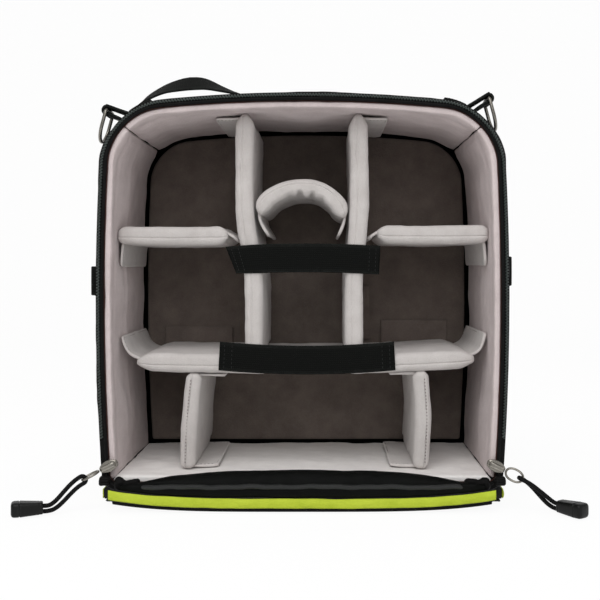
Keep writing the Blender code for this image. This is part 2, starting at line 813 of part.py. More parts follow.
def make_lid(holder):
    coil_space = 2 * (coil_radius + run_gap)
    block = slab_mesh(lid_outline(0), coil_space, lid_thickness, lifted=True)
    shell = add_piece("lid_shell", block, "casing_fabric", holder)
    hollow = add_cutter("lid_hollow", slab_mesh(lid_outline(lid_wall), -cut_overrun, lid_thickness - lid_panel))
    combine(shell, hollow, "DIFFERENCE")
    lining = slab_mesh(lid_outline(lid_wall + fit_gap), 0, lid_lining_thickness)
    add_piece("lid_lining", round_end(lining, 2, 0, floor_lining * lid_round_share, 2), "lining_fabric", holder)
    path = [fold_down(x, height, coil_radius + run_gap / 2) for x, height in lid_sides(coil_inset, 5, 8)]
    tube_piece("zip_coil_lid", path, coil_radius, "zip_nylon", holder, sides=1)
    make_lime(holder)
    make_fold(holder)


def lime_strip(name, points, holder):
    """A band laid on the lid's edge, thickened outwards."""
    bm = bmesh.new()
    rows = [[bm.verts.new(fold_down(x, height, level)) for x, height in points]
            for level in (lime_low, lime_low + lime_width)]
    for at in range(len(points) - 1):
        bm.faces.new((rows[0][at], rows[0][at + 1], rows[1][at + 1], rows[1][at]))
    strip = add_piece(name, bm, "lime_fabric", holder)
    solidify(strip, lime_thickness, 0)
    smooth(strip)
    return strip


def make_lime(holder):
    away = fit_gap + lime_thickness / 2
    lime_strip("lime_band_sides", lid_sides(-away), holder)
    row = np.linspace(lid_tongue_half, -lid_tongue_half, 15)
    lime_strip("lime_band_front", [(float(x), hinge_z - away) for x in row], holder)


def make_fold(holder):
    """The fabric hinge, a roll round the joint's axis that narrows towards its ends."""
    bm = bmesh.new()
    stations = np.linspace(-1, 1, 11)
    angles = np.radians(np.linspace(6, 90, 8))
    rings = []
    for share in stations:
        radius = fold_radius * (1 - fold_taper_share * share ** 2)
        x = share * lid_notch_half
        inner = radius - 2 * fit_gap
        ring = []
        for away in np.linspace(fit_gap, inner * math.cos(angles[0]), 4)[:-1]:
            ring.append((x, hinge_y + away, hinge_z + 2 * fit_gap + corner_lift(x, away)))
        for a in angles:
            ring.append((x, hinge_y + fit_gap + inner * math.cos(a), hinge_z + 2 * fit_gap + inner * math.sin(a)))
        rings.append([bm.verts.new(place) for place in ring])
    count = len(rings[0])
    for first, second in zip(rings, rings[1:]):
        for at in range(count):
            after = (at + 1) % count
            bm.faces.new((first[at], first[after], second[after], second[at]))
    bm.faces.new(rings[0])
    bm.faces.new(rings[-1])
    fold = add_piece("hinge_fold", bm, "casing_fabric", holder)
    smooth(fold)
    return fold


# Zip sliders, pull rings, cords and grips
slider_inset = 0.0125
slider_x = body_width / 2 - slider_inset
slider_height = 0.0360
stub_width = 0.0088
stub_depth = 0.0080
stub_gap = 0.0010
grip_reach = {"left": 0.0615, "right": 0.0578}
grip_stand_off = 0.0240
grip_headings = {"left": math.radians(196), "right": math.radians(309)}
pull_ring_clearance = 0.0003
pull_ring_headings = {"left": (-0.86, -0.26, -0.44), "right": (0.874, -0.257, -0.411)}
pull_ring_facings = {"left": (0.0, 0.0, 1.0), "right": (0.0, 1.0, 0.0)}


slider_outline_shares = ((-1.0, 0.62), (-0.62, 1.0), (-0.1, 0.86), (0.5, 1.0), (1.0, 0.78))


def make_slider(side, sign):
    """A slider body with a waist, turned towards the corner, with a bridge for the pull ring."""
    y = rim_front - fit_gap - slider_thickness / 2
    holder = pivot(f"{side}_slider_axis", (sign * slider_x, y, slider_height))
    half = slider_length / 2
    wide = slider_width / 2
    upper = [(half * a, wide * b) for a, b in slider_outline_shares]
    points = upper + [(a, -b) for a, b in upper[::-1]]
    bm = bmesh.new()
    ring = []
    for a, b in points:
        turned_x = a * math.cos(slider_turn) - b * math.sin(slider_turn)
        turned_z = a * math.sin(slider_turn) + b * math.cos(slider_turn)
        ring.append(bm.verts.new((sign * (slider_x - turned_x), y - slider_thickness / 2, slider_height + turned_z)))
    bm.faces.new(ring)
    result = bmesh.ops.extrude_face_region(bm, geom=bm.faces[:])
    lifted = [item for item in result["geom"] if isinstance(item, bmesh.types.BMVert)]
    bmesh.ops.translate(bm, verts=lifted, vec=(0, slider_thickness, 0))
    slider = add_piece(f"{side}_zip_slider", bm, "nickel", holder)
    bevel(slider, slider_thickness * 0.16, segments=2)
    smooth(slider)
    return holder


def slider_outer(side, sign):
    """Where the pull ring hooks the slider's outer end."""
    half = slider_length / 2 + pull_ring_wire / 2 + pull_ring_clearance
    return np.array((
        sign * (slider_x + half * math.cos(slider_turn)),
        rim_front - fit_gap - slider_thickness * 0.8,
        slider_height - half * math.sin(slider_turn),
    ))


def pull_ring_frame(side, sign):
    """Centre of the ring, the way it points, the way it is wide and the way it faces."""
    along = np.array(pull_ring_headings[side])
    along /= np.linalg.norm(along)
    broad = np.cross(along, pull_ring_facings[side])
    broad /= np.linalg.norm(broad)
    facing = np.cross(along, broad)
    centre = slider_outer(side, sign) + along * (pull_ring_length - pull_ring_wire) / 2
    return centre, along, broad, facing * math.copysign(1, facing[2])


def make_pull_ring(side, sign, holder):
    """An oval wire ring from the slider's outer end towards the cord."""
    centre, along, broad, _ = pull_ring_frame(side, sign)
    half_long = (pull_ring_length - pull_ring_wire) / 2
    half_wide = (pull_ring_width - pull_ring_wire) / 2
    angles = np.radians(np.arange(0, 360, 22.5))
    points = [centre + along * half_long * math.cos(a) + broad * half_wide * math.sin(a) for a in angles]
    tube_piece(f"{side}_pull_ring", [tuple(p) for p in points], pull_ring_wire / 2, "nickel", holder, closed=True, sides=1)


def grip_frame(side):
    """Centre of the grip, lying on the table beside the body, and the way it points."""
    heading = grip_headings[side]
    x = (slider_x + grip_reach[side]) * (1 if side == "right" else -1)
    centre = np.array((x, rim_front - grip_stand_off, grip_thickness / 2))
    return centre, np.array((math.cos(heading), math.sin(heading), 0.0))


# Along the grip, its width and its height, as shares of its length, width and thickness
grip_station_shares = (
    (-0.5, 0.62, 0.72), (-0.42, 0.80, 0.84), (-0.1, 0.90, 0.92), (0.18, 0.94, 0.94),
    (0.24, 0.90, 0.90), (0.30, 1.0, 1.0), (0.42, 0.94, 0.96), (0.5, 0.60, 0.70),
)


def make_grip(side, holder):
    """A moulded cord end, wider than thick, waisted near its foot, lying on the table."""
    centre, along = grip_frame(side)
    across = np.array((-along[1], along[0], 0.0))
    bm = bmesh.new()
    rings = []
    angles = np.radians(np.arange(0, 360, 30))
    for share, wide, tall in grip_station_shares:
        ring = []
        for a in angles:
            c = math.copysign(abs(math.cos(a)) ** 0.7, math.cos(a))
            s = math.copysign(abs(math.sin(a)) ** 0.7, math.sin(a))
            place = centre + along * grip_length * share + across * grip_width / 2 * wide * c
            place[2] = grip_thickness / 2 + grip_thickness / 2 * tall * s
            ring.append(bm.verts.new(place))
        rings.append(ring)
    for first, second in zip(rings, rings[1:]):
        for at in range(len(first)):
            after = (at + 1) % len(first)
            bm.faces.new((first[at], first[after], second[after], second[at]))
    bm.faces.new(rings[0])
    bm.faces.new(rings[-1])
    grip = add_piece(f"{side}_pull_grip", bm, "grip_plastic", holder)
    smooth(grip)
    return grip


def make_stub(side, sign):
    """The sewn end of the zip tape, below the slider and outside the lid's tongue."""
    x = lid_tongue_half + 2 * fit_gap
    top = slider_height - slider_width / 2 * math.cos(slider_turn) - slider_length / 2 * math.sin(slider_turn)
    low = base_z + side_bow
    near = (sign * x, sign * (x + stub_width))
    back = rim_front - fit_gap
    bm = box_mesh((min(near), back - stub_depth, low), (max(near), back, top - stub_gap))
    stub = add_piece(f"{side}_zip_end", bm, "casing_fabric")
    bevel(stub, stub_width * 0.22, segments=2)
    smooth(stub)
    return stub


cord_points = 44
cord_strand_gap = 0.0008
cord_lead = 0.0035
cord_reach_shares = (0.24, 0.34)


def cord_route(side, sign):
    """A doubled cord: out of the grip's foot, round the pull ring's far wire and back beside itself."""
    centre, heading = grip_frame(side)
    foot = centre - heading * grip_length / 2
    ring, along, _, facing = pull_ring_frame(side, sign)
    wire = ring + along * (pull_ring_length - pull_ring_wire) / 2
    far = np.linalg.norm(wire - foot)
    lead = foot - heading * cord_lead
    handles = (lead, lead - heading * far * cord_reach_shares[0], wire + along * far * cord_reach_shares[1], wire)
    near_radius = (cord_diameter + cord_strand_gap) / 2
    turn_radius = (cord_diameter + pull_ring_wire) / 2 + fit_gap
    up = np.array((0.0, 0.0, 1.0))
    strands = [[foot + up * near_radius], [foot - up * near_radius]]
    for t in np.linspace(0, 1, 9):
        shares = ((1 - t) ** 3, 3 * t * (1 - t) ** 2, 3 * t ** 2 * (1 - t), t ** 3)
        place = sum(share * handle for share, handle in zip(shares, handles))
        slopes = ((1 - t) ** 2, 2 * t * (1 - t), t ** 2)
        way = sum(slope * (after - before) for slope, before, after in zip(slopes, handles, handles[1:]))
        way /= np.linalg.norm(way)
        apart = up * math.cos(t * math.pi / 2) + facing * math.sin(t * math.pi / 2)
        apart -= way * (apart @ way)
        apart *= (near_radius + (turn_radius - near_radius) * t) / np.linalg.norm(apart)
        strands[0].append(place + apart)
        strands[1].append(place - apart)
    turn = [wire + turn_radius * (facing * math.cos(a) - along * math.sin(a)) for a in np.radians((30, 60, 90, 120, 150))]
    return np.array(strands[0] + turn + strands[1][::-1])


def make_cord(side, sign, holder):
    line = smooth_line(cord_route(side, sign), cord_points)
    centre, heading = grip_frame(side)
    foot = centre - heading * (grip_length / 2 + 2 * fit_gap)
    past = (line - foot) @ heading
    line = line - np.outer(np.clip(past, 0, None), heading)
    tube_piece(f"{side}_pull_cord", [tuple(p) for p in line], cord_diameter / 2, "cord", holder, sides=2)
    return line


def report_gap(name, line):
    """Least distance of a looped cord to itself, beyond its nearest neighbours."""
    apart = np.linalg.norm(line[:, None] - line[None], axis=2)
    index = np.arange(len(line))
    far = abs(index[:, None] - index[None]) > 8
    print(name, "least gap to itself mm", round(float(apart[far].min() - cord_diameter) * 1000, 2))


upper_strap_rise = 0.0019
lower_strap_sag = 0.0035
straps = (
    ("upper_strap", (-0.385, 0.408), 0.584, -upper_strap_rise, (-0.40, 0.05)),
    ("lower_strap", (-0.447, 0.488), 0.318, lower_strap_sag, (0.05, -0.05)),
)


def build():
    make_casing()
    make_rim()
    for side in ("left", "right", "top", "low"):
        lining_panel(f"{side}_lining", side)
    make_floor()
    make_body_coil()
    make_handle()
    for side, sign in (("left", -1), ("right", 1)):
        make_side_loop(side, sign)
        make_ring(side, sign)
        make_ring_tab(side, sign)
        make_stub(side, sign)
        slider = make_slider(side, sign)
        make_pull_ring(side, sign, slider)
        make_grip(side, slider)
        report_gap(f"{side}_pull_cord", make_cord(side, sign, slider))

    make_lid(pivot("lid_axis", (0, hinge_y, hinge_z)))

    cradle = pivot("cradle_axis", (0, divider_front, floor_z + inner_height * long_shelf_shares[2][1]))
    make_cradle(cradle)
    left_z = floor_z + inner_height * left_shelf_height_share
    right_z = floor_z + inner_height * right_shelf_height_share
    left_shelf = pivot("left_shelf_axis", (inner_half * -0.65, divider_front, left_z))
    right_shelf = pivot("right_shelf_axis", (inner_half * 0.65, divider_front, right_z))
    make_side_shelf("left_shelf_divider", -1, left_upright_shares, left_shelf_height_share, left_shelf)
    make_side_shelf("right_shelf_divider", 1, right_upright_shares, right_shelf_height_share, right_shelf)
    for name, sign, shares in (("lower_left", -1, lower_left_shares), ("lower_right", 1, lower_right_shares)):
        x, z = inside(*shares[1])
        make_lower_divider(f"{name}_divider", sign, shares, pivot(f"{name}_axis", (x, divider_front, z)))
    x, z = inside(*arch_shares[3])
    make_arch(pivot("arch_axis", (x, divider_front, z)))
    for name, ends, height_share, sag, slants in straps:
        height = floor_z + inner_height * height_share
        left, right = (inner_half * end for end in ends)
        holder = pivot(f"{name}_axis", (0, divider_front, height))
        make_retaining_strap(name, left, right, height, sag, slants, holder)


build()
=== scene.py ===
import math

import bpy
import numpy as np
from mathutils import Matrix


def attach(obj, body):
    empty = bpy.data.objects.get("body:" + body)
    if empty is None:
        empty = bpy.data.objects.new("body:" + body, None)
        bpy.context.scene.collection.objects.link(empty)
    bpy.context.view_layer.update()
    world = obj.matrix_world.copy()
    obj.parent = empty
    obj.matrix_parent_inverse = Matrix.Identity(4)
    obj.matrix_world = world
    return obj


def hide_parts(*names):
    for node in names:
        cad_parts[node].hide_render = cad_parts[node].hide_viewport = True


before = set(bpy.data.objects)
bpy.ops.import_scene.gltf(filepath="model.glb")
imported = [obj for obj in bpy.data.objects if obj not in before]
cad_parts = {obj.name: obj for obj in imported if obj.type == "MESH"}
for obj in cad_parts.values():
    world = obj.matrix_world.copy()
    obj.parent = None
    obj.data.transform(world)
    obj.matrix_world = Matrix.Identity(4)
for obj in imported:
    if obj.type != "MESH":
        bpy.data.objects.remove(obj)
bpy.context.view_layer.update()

print("stage: camera")

cameraLook = {"place": (0.0187, -0.924, 0.204), "lens": 60.6, "sensor": 36.0, "shift": (-0.0417, -0.0617)}


def makeCamera(look):
    data = bpy.data.cameras.new("photoCamera")
    data.lens = look["lens"]
    data.sensor_width = look["sensor"]
    data.sensor_fit = "HORIZONTAL"
    data.shift_x, data.shift_y = look["shift"]
    camera = bpy.data.objects.new("photoCamera", data)
    camera.location = look["place"]
    camera.rotation_euler = (math.pi / 2, 0, 0)  # level, looking along +Y
    bpy.context.scene.collection.objects.link(camera)
    bpy.context.scene.camera = camera


makeCamera(cameraLook)
bpy.context.scene.view_settings.view_transform = "Standard"

# Numbers and grids


def smoothNoise(points, size, seed, octaves=2):
    # Waves: a sum of sines along fixed random ways, each octave finer and weaker, about -1 to 1
    dice = np.random.default_rng(seed)
    total = np.zeros(len(points))
    for octave in range(octaves):
        ways = dice.normal(size=(7, 3))
        ways /= np.linalg.norm(ways, axis=1)[:, None]
        rate = 2 * np.pi / size * 1.9 ** octave * dice.uniform(0.7, 1.35, 7)
        total += np.sin(points @ ways.T * rate + dice.uniform(0, 2 * np.pi, 7)).sum(1) * 0.55 ** octave / 4.2
    return total


def bump(value, middle, width):
    # Bell: e to the minus square of the distance from its middle over its width
    return np.exp(-((value - middle) / width) ** 2)


def ease(value):
    # Ease: 3t squared less 2t cubed, held between 0 and 1
    t = np.clip(value, 0, 1)
    return t * t * (3 - 2 * t)


def unit(rows):
    rows = np.asarray(rows, float)
    return rows / np.maximum(np.linalg.norm(rows, axis=-1, keepdims=True), 1e-12)


def lengthAlong(line):
    return np.concatenate(([0], np.cumsum(np.linalg.norm(np.diff(line, axis=0), axis=1))))


def withDepth(flat, y):
    # Places in the XZ plane, all at one depth
    return np.column_stack((flat[:, 0], np.full(len(flat), y), flat[:, 1]))


def withHeight(flat, z):
    return np.column_stack((flat, np.full(len(flat), z)))


def resample(line, count):
    length = lengthAlong(line)
    spots = np.linspace(0, length[-1], count)
    return np.column_stack([np.interp(spots, length, line[:, k]) for k in range(line.shape[1])])


def smoothLine(points, count):
    # Catmull-Rom: each span is a cubic whose end slopes are half the way between its neighbours
    points = np.asarray(points, float)
    padded = np.vstack((2 * points[0] - points[1], points, 2 * points[-1] - points[-2]))
    t = np.linspace(0, 1, 25)[:-1][None, :, None]
    before, start, end, after = (padded[k:len(padded) - 3 + k][:, None] for k in range(4))
    rows = 0.5 * (2 * start + (end - before) * t + (2 * before - 5 * start + 4 * end - after) * t ** 2
                  + (3 * start - before - 3 * end + after) * t ** 3)
    return resample(np.vstack((rows.reshape(-1, points.shape[1]), points[-1:])), count)


def framesAlong(line, first, closed=False):
    # Frames: the way along the line, and a side that is carried on with the least turn
    way = np.roll(line, -1, 0) - np.roll(line, 1, 0) if closed else np.gradient(line, axis=0)
    way = unit(way)
    side = np.empty_like(way)
    current = np.asarray(first, float)
    for at, along in enumerate(way):
        current = unit(current - along * (current @ along))
        side[at] = current
    return way, side, np.cross(way, side)


def gridFaces(rows, cols, wrapRows=False, wrapCols=False):
    i, j = np.meshgrid(np.arange(rows - (not wrapRows)), np.arange(cols - (not wrapCols)), indexing="ij")
    down, over = (i + 1) % rows, (j + 1) % cols
    return np.stack((i * cols + j, down * cols + j, down * cols + over, i * cols + over), -1).reshape(-1, 4)


def gridUv(u, v):
    # Corner places of the grid's faces, so a pattern doesn't jump where the grid closes on itself
    i, j = np.meshgrid(np.arange(len(u) - 1), np.arange(len(v) - 1), indexing="ij")
    corners = [np.stack((u[i + a], v[j + b]), -1) for a, b in ((0, 0), (1, 0), (1, 1), (0, 1))]
    return np.stack(corners, 2).reshape(-1, 4, 2)


def shape(points, faces, uvs=None, edge=None):
    # A closed shell; its faces are turned outwards by the sign of its volume
    points = np.asarray(points, float)
    uvs = uvs or [np.zeros((*part.shape, 2)) for part in faces]
    local = points - points.mean(0)
    volume = 0.0
    for part in faces:
        for k in range(1, part.shape[1] - 1):
            a, b, c = local[part[:, 0]], local[part[:, k]], local[part[:, k + 1]]
            volume += np.einsum("ij,ij->i", a, np.cross(b, c)).sum()
    if volume < 0:
        faces = [part[:, ::-1] for part in faces]
        uvs = [part[:, ::-1] for part in uvs]
    return {"points": points, "faces": faces, "uvs": uvs, "edge": np.zeros(len(points)) if edge is None else edge}


def normalsOf(points, faces):
    total = np.zeros_like(points)
    for part in faces:
        corner = points[part]
        across = np.cross(corner[:, 2] - corner[:, 0], corner[:, -1] - corner[:, 1])
        for k in range(part.shape[1]):
            np.add.at(total, part[:, k], across)
    return unit(total)


def roughen(made, rows, seed):
    # Wrinkles: each point moves along its normal by noise of several sizes
    normals = normalsOf(made["points"], made["faces"])
    amount = sum(depth * smoothNoise(made["points"], size, seed + k) for k, (size, depth) in enumerate(rows))
    made["points"] = made["points"] + normals * amount[:, None]
    return made


def ringStack(rings, uvs=None, edge=None, capped=True, closed=False):
    # Rings of points joined one to the next, each end closed by a fan to its middle
    count, around = rings.shape[:2]
    points = rings.reshape(-1, 3)
    faces = [gridFaces(count, around, closed, True)]
    sheets = None if uvs is None else [uvs]
    edge = np.zeros(len(points)) if edge is None else edge
    if capped and not closed:
        near = np.arange(around)
        after = (near + 1) % around
        last = (count - 1) * around
        points = np.vstack((points, rings[0].mean(0), rings[-1].mean(0)))
        tops = np.full(around, len(points) - 2)
        first, final = np.column_stack((near, after, tops)), np.column_stack((last + after, last + near, tops + 1))
        faces.append(np.vstack((first, final)))
        edge = np.concatenate((edge, (0, 0)))
        if sheets:
            sheets.append(np.zeros((2 * around, 3, 2)))
    return shape(points, faces, sheets, edge)


def sweep(line, side, up, section, closed=False, edgeFrom=None):
    # Sweep: ring = point + side times the section's width + up times its height
    rings = line[:, None] + side[:, None] * section[None, :, :1] + up[:, None] * section[None, :, 1:2]
    u = lengthAlong(np.vstack((line, line[:1])) if closed else line)
    v = section[:, 0] if edgeFrom is not None else lengthAlong(section)
    v = np.append(v, v[0] if edgeFrom is not None else v[-1] + np.linalg.norm(section[-1] - section[0]))
    edge = None if edgeFrom is None else np.tile(ease((np.abs(section[:, 0]) - edgeFrom) / 0.0012), len(line))
    return ringStack(rings, gridUv(u, v), edge, closed=closed)


def circle(radius, sides):
    angles = np.linspace(0, 2 * np.pi, sides + 1)[:-1]
    return radius * np.column_stack((np.cos(angles), np.sin(angles)))


def squaredCircle(sides, power):
    # Squared circle: the cosine and sine of even angles, each to a power with its sign kept
    waves = circle(1.0, sides)
    return (np.sign(waves) * np.abs(waves) ** power).T


def tube(line, radius, sides=10, first=(0, 1, 0), closed=False):
    way, side, up = framesAlong(line, first, closed)
    return sweep(line, side, up, circle(radius, sides), closed)


def ribbonSection(width, thickness, count=9):
    # A flat strip with half-round edges, a little fuller in its middle
    radius = thickness / 2 * 0.9
    flat = np.linspace(-width / 2 + radius, width / 2 - radius, count)
    fuller = radius * (1 + 0.1 * (1 - (2 * flat / width) ** 2))
    turn = np.radians((60, 30, 0, -30, -60))
    right = np.column_stack((width / 2 - radius + radius * np.cos(turn), radius * np.sin(turn)))
    return np.vstack((np.column_stack((flat, fuller)), right, np.column_stack((flat[::-1], -fuller)), -right))


def ribbon(line, across, width, thickness, slanted=False):
    way = unit(np.gradient(line, axis=0))
    if not slanted:
        across = across - way * np.einsum("ij,ij->i", across, way)[:, None]
    across = unit(across)
    return sweep(line, across, np.cross(way, across), ribbonSection(width, thickness), edgeFrom=width / 2 - 0.002)


def edgeSteps(low, high, radius, count, extra=()):
    # Steps: even inside, and at a rounded end the tangents of even angles
    ends = radius * (1 - np.tan(np.radians((45, 30, 15, 0))))
    middle = np.linspace(low + radius, high - radius, count + 1)[1:-1]
    rows = np.concatenate((low + ends, middle, high - ends[::-1], np.asarray(extra, float)))
    return np.unique(np.round(rows, 7))


def latticeBox(tables):
    # The surface of a box, a grid on each of its six sides with the shared edges merged
    sizes = [len(table) for table in tables]
    spots, quads, start = [], [], 0
    for axis in range(3):
        a, b = (axis + 1) % 3, (axis + 2) % 3
        i, j = np.meshgrid(np.arange(sizes[a]), np.arange(sizes[b]), indexing="ij")
        for far in (0, 1):
            rows = np.zeros((i.size, 3), int)
            rows[:, a], rows[:, b], rows[:, axis] = i.ravel(), j.ravel(), far * (sizes[axis] - 1)
            grid = gridFaces(sizes[a], sizes[b]) + start
            quads.append(grid if far else grid[:, ::-1])
            spots.append(rows)
            start += len(rows)
    merged, index = np.unique(np.vstack(spots), axis=0, return_inverse=True)
    points = np.column_stack([table[merged[:, k]] for k, table in enumerate(tables)])
    return points, index.ravel()[np.vstack(quads)]


def roundBox(low, high, radius, counts, extra=()):
    # Rounded box: a point's nearest place in the inner box, plus radius towards the point
    low, high = np.asarray(low, float), np.asarray(high, float)
    tables = [edgeSteps(low[k], high[k], radius, counts[k], extra if k == 2 else ()) for k in range(3)]
    points, quads = latticeBox(tables)
    inner = np.clip(points, low + radius, high - radius)
    away = points - inner
    reach = np.linalg.norm(away, axis=1, keepdims=True)
    return np.where(reach > 0, inner + away / np.maximum(reach, 1e-9) * radius, points), quads


def bendOnto(line, points, quads, wrinkles, seed, edge=None):
    # Bending: u runs along a line in the XZ plane, w leaves it along its left normal, v is Y
    curve = smoothLine(line, 161) if len(line) < 60 else np.asarray(line, float)
    length = lengthAlong(curve)
    slope = unit(np.gradient(curve, axis=0))
    x, z, sx, sz = (np.interp(points[:, 0], length, column) for column in (*curve.T, *slope.T))
    placed = np.column_stack((x - sz * points[:, 2], points[:, 1], z + sx * points[:, 2]))
    return roughen(shape(placed, [quads], edge=edge), wrinkles, seed)


def lineLength(line):
    return lengthAlong(smoothLine(line, 161))[-1]


# The body's outline, as in the frame

bodyShape = {"half": 0.1665, "height": 0.320, "base": 0.0145, "upper": 0.048, "lower": 0.0135, "middle": 0.1745,
             "sideBow": 0.006, "topBow": 0.012, "front": -0.086, "casingFront": -0.0827, "back": 0.086,
             "innerHalf": 0.1607, "floor": 0.0263, "innerHeight": 0.3084, "liningInner": 0.0118,
             "padFront": -0.058, "padBack": 0.0739, "hingeY": -0.1005, "hingeZ": 0.01425}
sideTurns = {"left": (0, 2, 135), "low": (2, 3, 225), "right": (3, 1, 315), "top": (1, 0, 45)}


def bowed(x, z):
    # Bow: sides swell by a parabola of the height, the top rises by a parabola of the width
    b = bodyShape
    rise = (z - b["base"] - b["height"] / 2) / (b["height"] / 2)
    across = x / b["half"]
    wide = x + b["sideBow"] * across * (1 - np.clip(rise, -1, 1) ** 2)
    return wide, z + b["topBow"] * (1 - np.clip(across, -1, 1) ** 2) * np.clip(rise, 0, None)


def sideLine(side, inset, cornerSteps=10, sideSteps=60):
    b = bodyShape
    first, second, start = sideTurns[side]
    rows = []
    for corner, turn in ((first, start), (second, start + 45)):
        radius = b["upper"] if corner < 2 else b["lower"]
        x = (1 if corner % 2 else -1) * (b["half"] - radius)
        z = b["base"] + (b["height"] - radius if corner < 2 else radius)
        angles = np.radians(np.linspace(turn, turn + 45, cornerSteps + 1))
        arc = np.column_stack((np.cos(angles), np.sin(angles)))
        rows.append((x, z) + (radius - inset) * arc)
    middle = np.linspace(rows[0][-1], rows[1][0], sideSteps + 1)[1:-1]
    flat = np.vstack((rows[0], middle, rows[1]))
    return np.column_stack(bowed(flat[:, 0], flat[:, 1]))


def outline(inset, cornerSteps=10, sideSteps=60):
    return np.vstack([sideLine(side, inset, cornerSteps, sideSteps)[:-1] for side in sideTurns])


def rightHalf(inset):
    top = sideLine("top", inset, 12, 40)
    return np.vstack((sideLine("right", inset, 12, 40), top[top[:, 0] > 0][1:]))


def wallX(z, inset=bodyShape["liningInner"]):
    rows = rightHalf(inset)
    return np.interp(z, rows[:, 1], rows[:, 0])


def surfaceZ(x, inset=0.0):
    rows = rightHalf(inset)
    rows = rows[rows[:, 1] > bodyShape["middle"]][::-1]
    return np.interp(np.abs(x), rows[:, 0], rows[:, 1])


def inside(shareX, shareZ):
    return bodyShape["innerHalf"] * shareX, bodyShape["floor"] + bodyShape["innerHeight"] * shareZ


def loopStack(stations):
    # Rings of the outline: each station is inset, y and how far the ring shrinks to the middle
    middle = np.array((0.0, bodyShape["middle"]))
    return np.array([withDepth(middle + (outline(inset) - middle) * shrink, y) for inset, y, shrink in stations])


print("stage: materials")


def linear(red, green, blue):
    rows = np.array((red, green, blue)) / 255
    return (*np.where(rows <= 0.04045, rows / 12.92, ((rows + 0.055) / 1.055) ** 2.4).tolist(), 1.0)


def put(tree, kind, values=None, **settings):
    # A node with its settings; each value is a link from a socket or a plain default
    made = tree.nodes.new(kind)
    for key, value in settings.items():
        setattr(made, key, value)
    for key, value in (values or {}).items():
        if isinstance(value, bpy.types.NodeSocket):
            tree.links.new(value, made.inputs[key])
        else:
            made.inputs[key].default_value = value
    return made


def calc(tree, operation, *values):
    return put(tree, "ShaderNodeMath", dict(enumerate(values)), operation=operation).outputs[0]


def blendColours(tree, share, first, second):
    return put(tree, "ShaderNodeMix", {0: share, 6: first, 7: second}, data_type="RGBA").outputs[2]


def openGroup(name, inputs, outputs):
    tree = bpy.data.node_groups.new(name, "ShaderNodeTree")
    for label, kind, value in inputs:
        socket = tree.interface.new_socket(name=label, in_out="INPUT", socket_type=kind)
        if value is not None:
            socket.default_value = value
    for label in outputs:
        tree.interface.new_socket(name=label, in_out="OUTPUT", socket_type="NodeSocketFloat")
    return tree, tree.nodes.new("NodeGroupInput").outputs, tree.nodes.new("NodeGroupOutput").inputs


def noiseIn(tree, vector, scale, detail=2.0, roughness=0.5):
    values = {"Vector": vector, "Scale": scale, "Detail": detail, "Roughness": roughness}
    return put(tree, "ShaderNodeTexNoise", values).outputs["Fac"]


fullTurn = 6.2832


def makeClothGroup():
    # Cloth: crossed threads as sines of the place, loose fibres as fine noise, a mottled tone
    tree, given, out = openGroup("clothThreads", [
        ("Vector", "NodeSocketVector", None), ("Thread", "NodeSocketFloat", 0.0006),
        ("Fibre", "NodeSocketFloat", 0.5), ("Mottle", "NodeSocketFloat", 60.0)], ["Height", "Tone"])
    rate = calc(tree, "DIVIDE", fullTurn, given["Thread"])
    scaled = put(tree, "ShaderNodeVectorMath", {0: given["Vector"], "Scale": rate}, operation="SCALE").outputs[0]
    parts = put(tree, "ShaderNodeSeparateXYZ", {0: scaled}).outputs
    waves = [calc(tree, "SINE", part) for part in parts]
    threads = calc(tree, "ADD", calc(tree, "ADD", waves[0], waves[1]), waves[2])
    fibres = noiseIn(tree, given["Vector"], calc(tree, "DIVIDE", 0.55, given["Thread"]), 3.0, 0.6)
    weave = calc(tree, "MULTIPLY", threads, calc(tree, "SUBTRACT", 1.0, given["Fibre"]))
    height = calc(tree, "ADD", calc(tree, "MULTIPLY", weave, 0.3), calc(tree, "MULTIPLY", fibres, given["Fibre"]))
    tree.links.new(height, out["Height"])
    broad = noiseIn(tree, given["Vector"], given["Mottle"], 4.0, 0.55)
    tone = calc(tree, "ADD", calc(tree, "MULTIPLY", broad, 0.65), calc(tree, "MULTIPLY", fibres, 0.35))
    tree.links.new(tone, out["Tone"])
    return tree


def makeWebbingGroup():
    # Webbing: ribs along u, crossed by a slant that turns at each rib, from the piece's own map
    tree, given, out = openGroup("webbingRibs", [
        ("Vector", "NodeSocketVector", None), ("Pitch", "NodeSocketFloat", 0.0016),
        ("Slant", "NodeSocketFloat", 0.6)], ["Height", "Tone"])
    parts = put(tree, "ShaderNodeSeparateXYZ", {0: given["Vector"]}).outputs
    rate = calc(tree, "DIVIDE", fullTurn, given["Pitch"])
    along = calc(tree, "MULTIPLY", parts[0], rate)
    over = calc(tree, "MULTIPLY", parts[1], rate)
    ribs = calc(tree, "ABSOLUTE", calc(tree, "SINE", calc(tree, "MULTIPLY", over, 0.5)))
    fold = calc(tree, "PINGPONG", over, fullTurn)
    turns = calc(tree, "SINE", calc(tree, "ADD", along, calc(tree, "MULTIPLY", fold, given["Slant"])))
    height = calc(tree, "MULTIPLY", ribs, calc(tree, "MULTIPLY_ADD", turns, 0.35, 0.65))
    tree.links.new(height, out["Height"])
    fine = noiseIn(tree, given["Vector"], 900.0, 3.0)
    tree.links.new(calc(tree, "MULTIPLY", height, fine), out["Tone"])
    return tree


def makeWearGroup():
    # Wear: the edge mask broken up by noise
    tree, given, out = openGroup("edgeWear", [
        ("Vector", "NodeSocketVector", None), ("Edge", "NodeSocketFloat", 0.0),
        ("Size", "NodeSocketFloat", 220.0)], ["Mask"])
    speck = noiseIn(tree, given["Vector"], given["Size"], 4.0, 0.65)
    tree.links.new(calc(tree, "MULTIPLY", given["Edge"], calc(tree, "MULTIPLY_ADD", speck, 1.6, -0.3)), out["Mask"])
    return tree


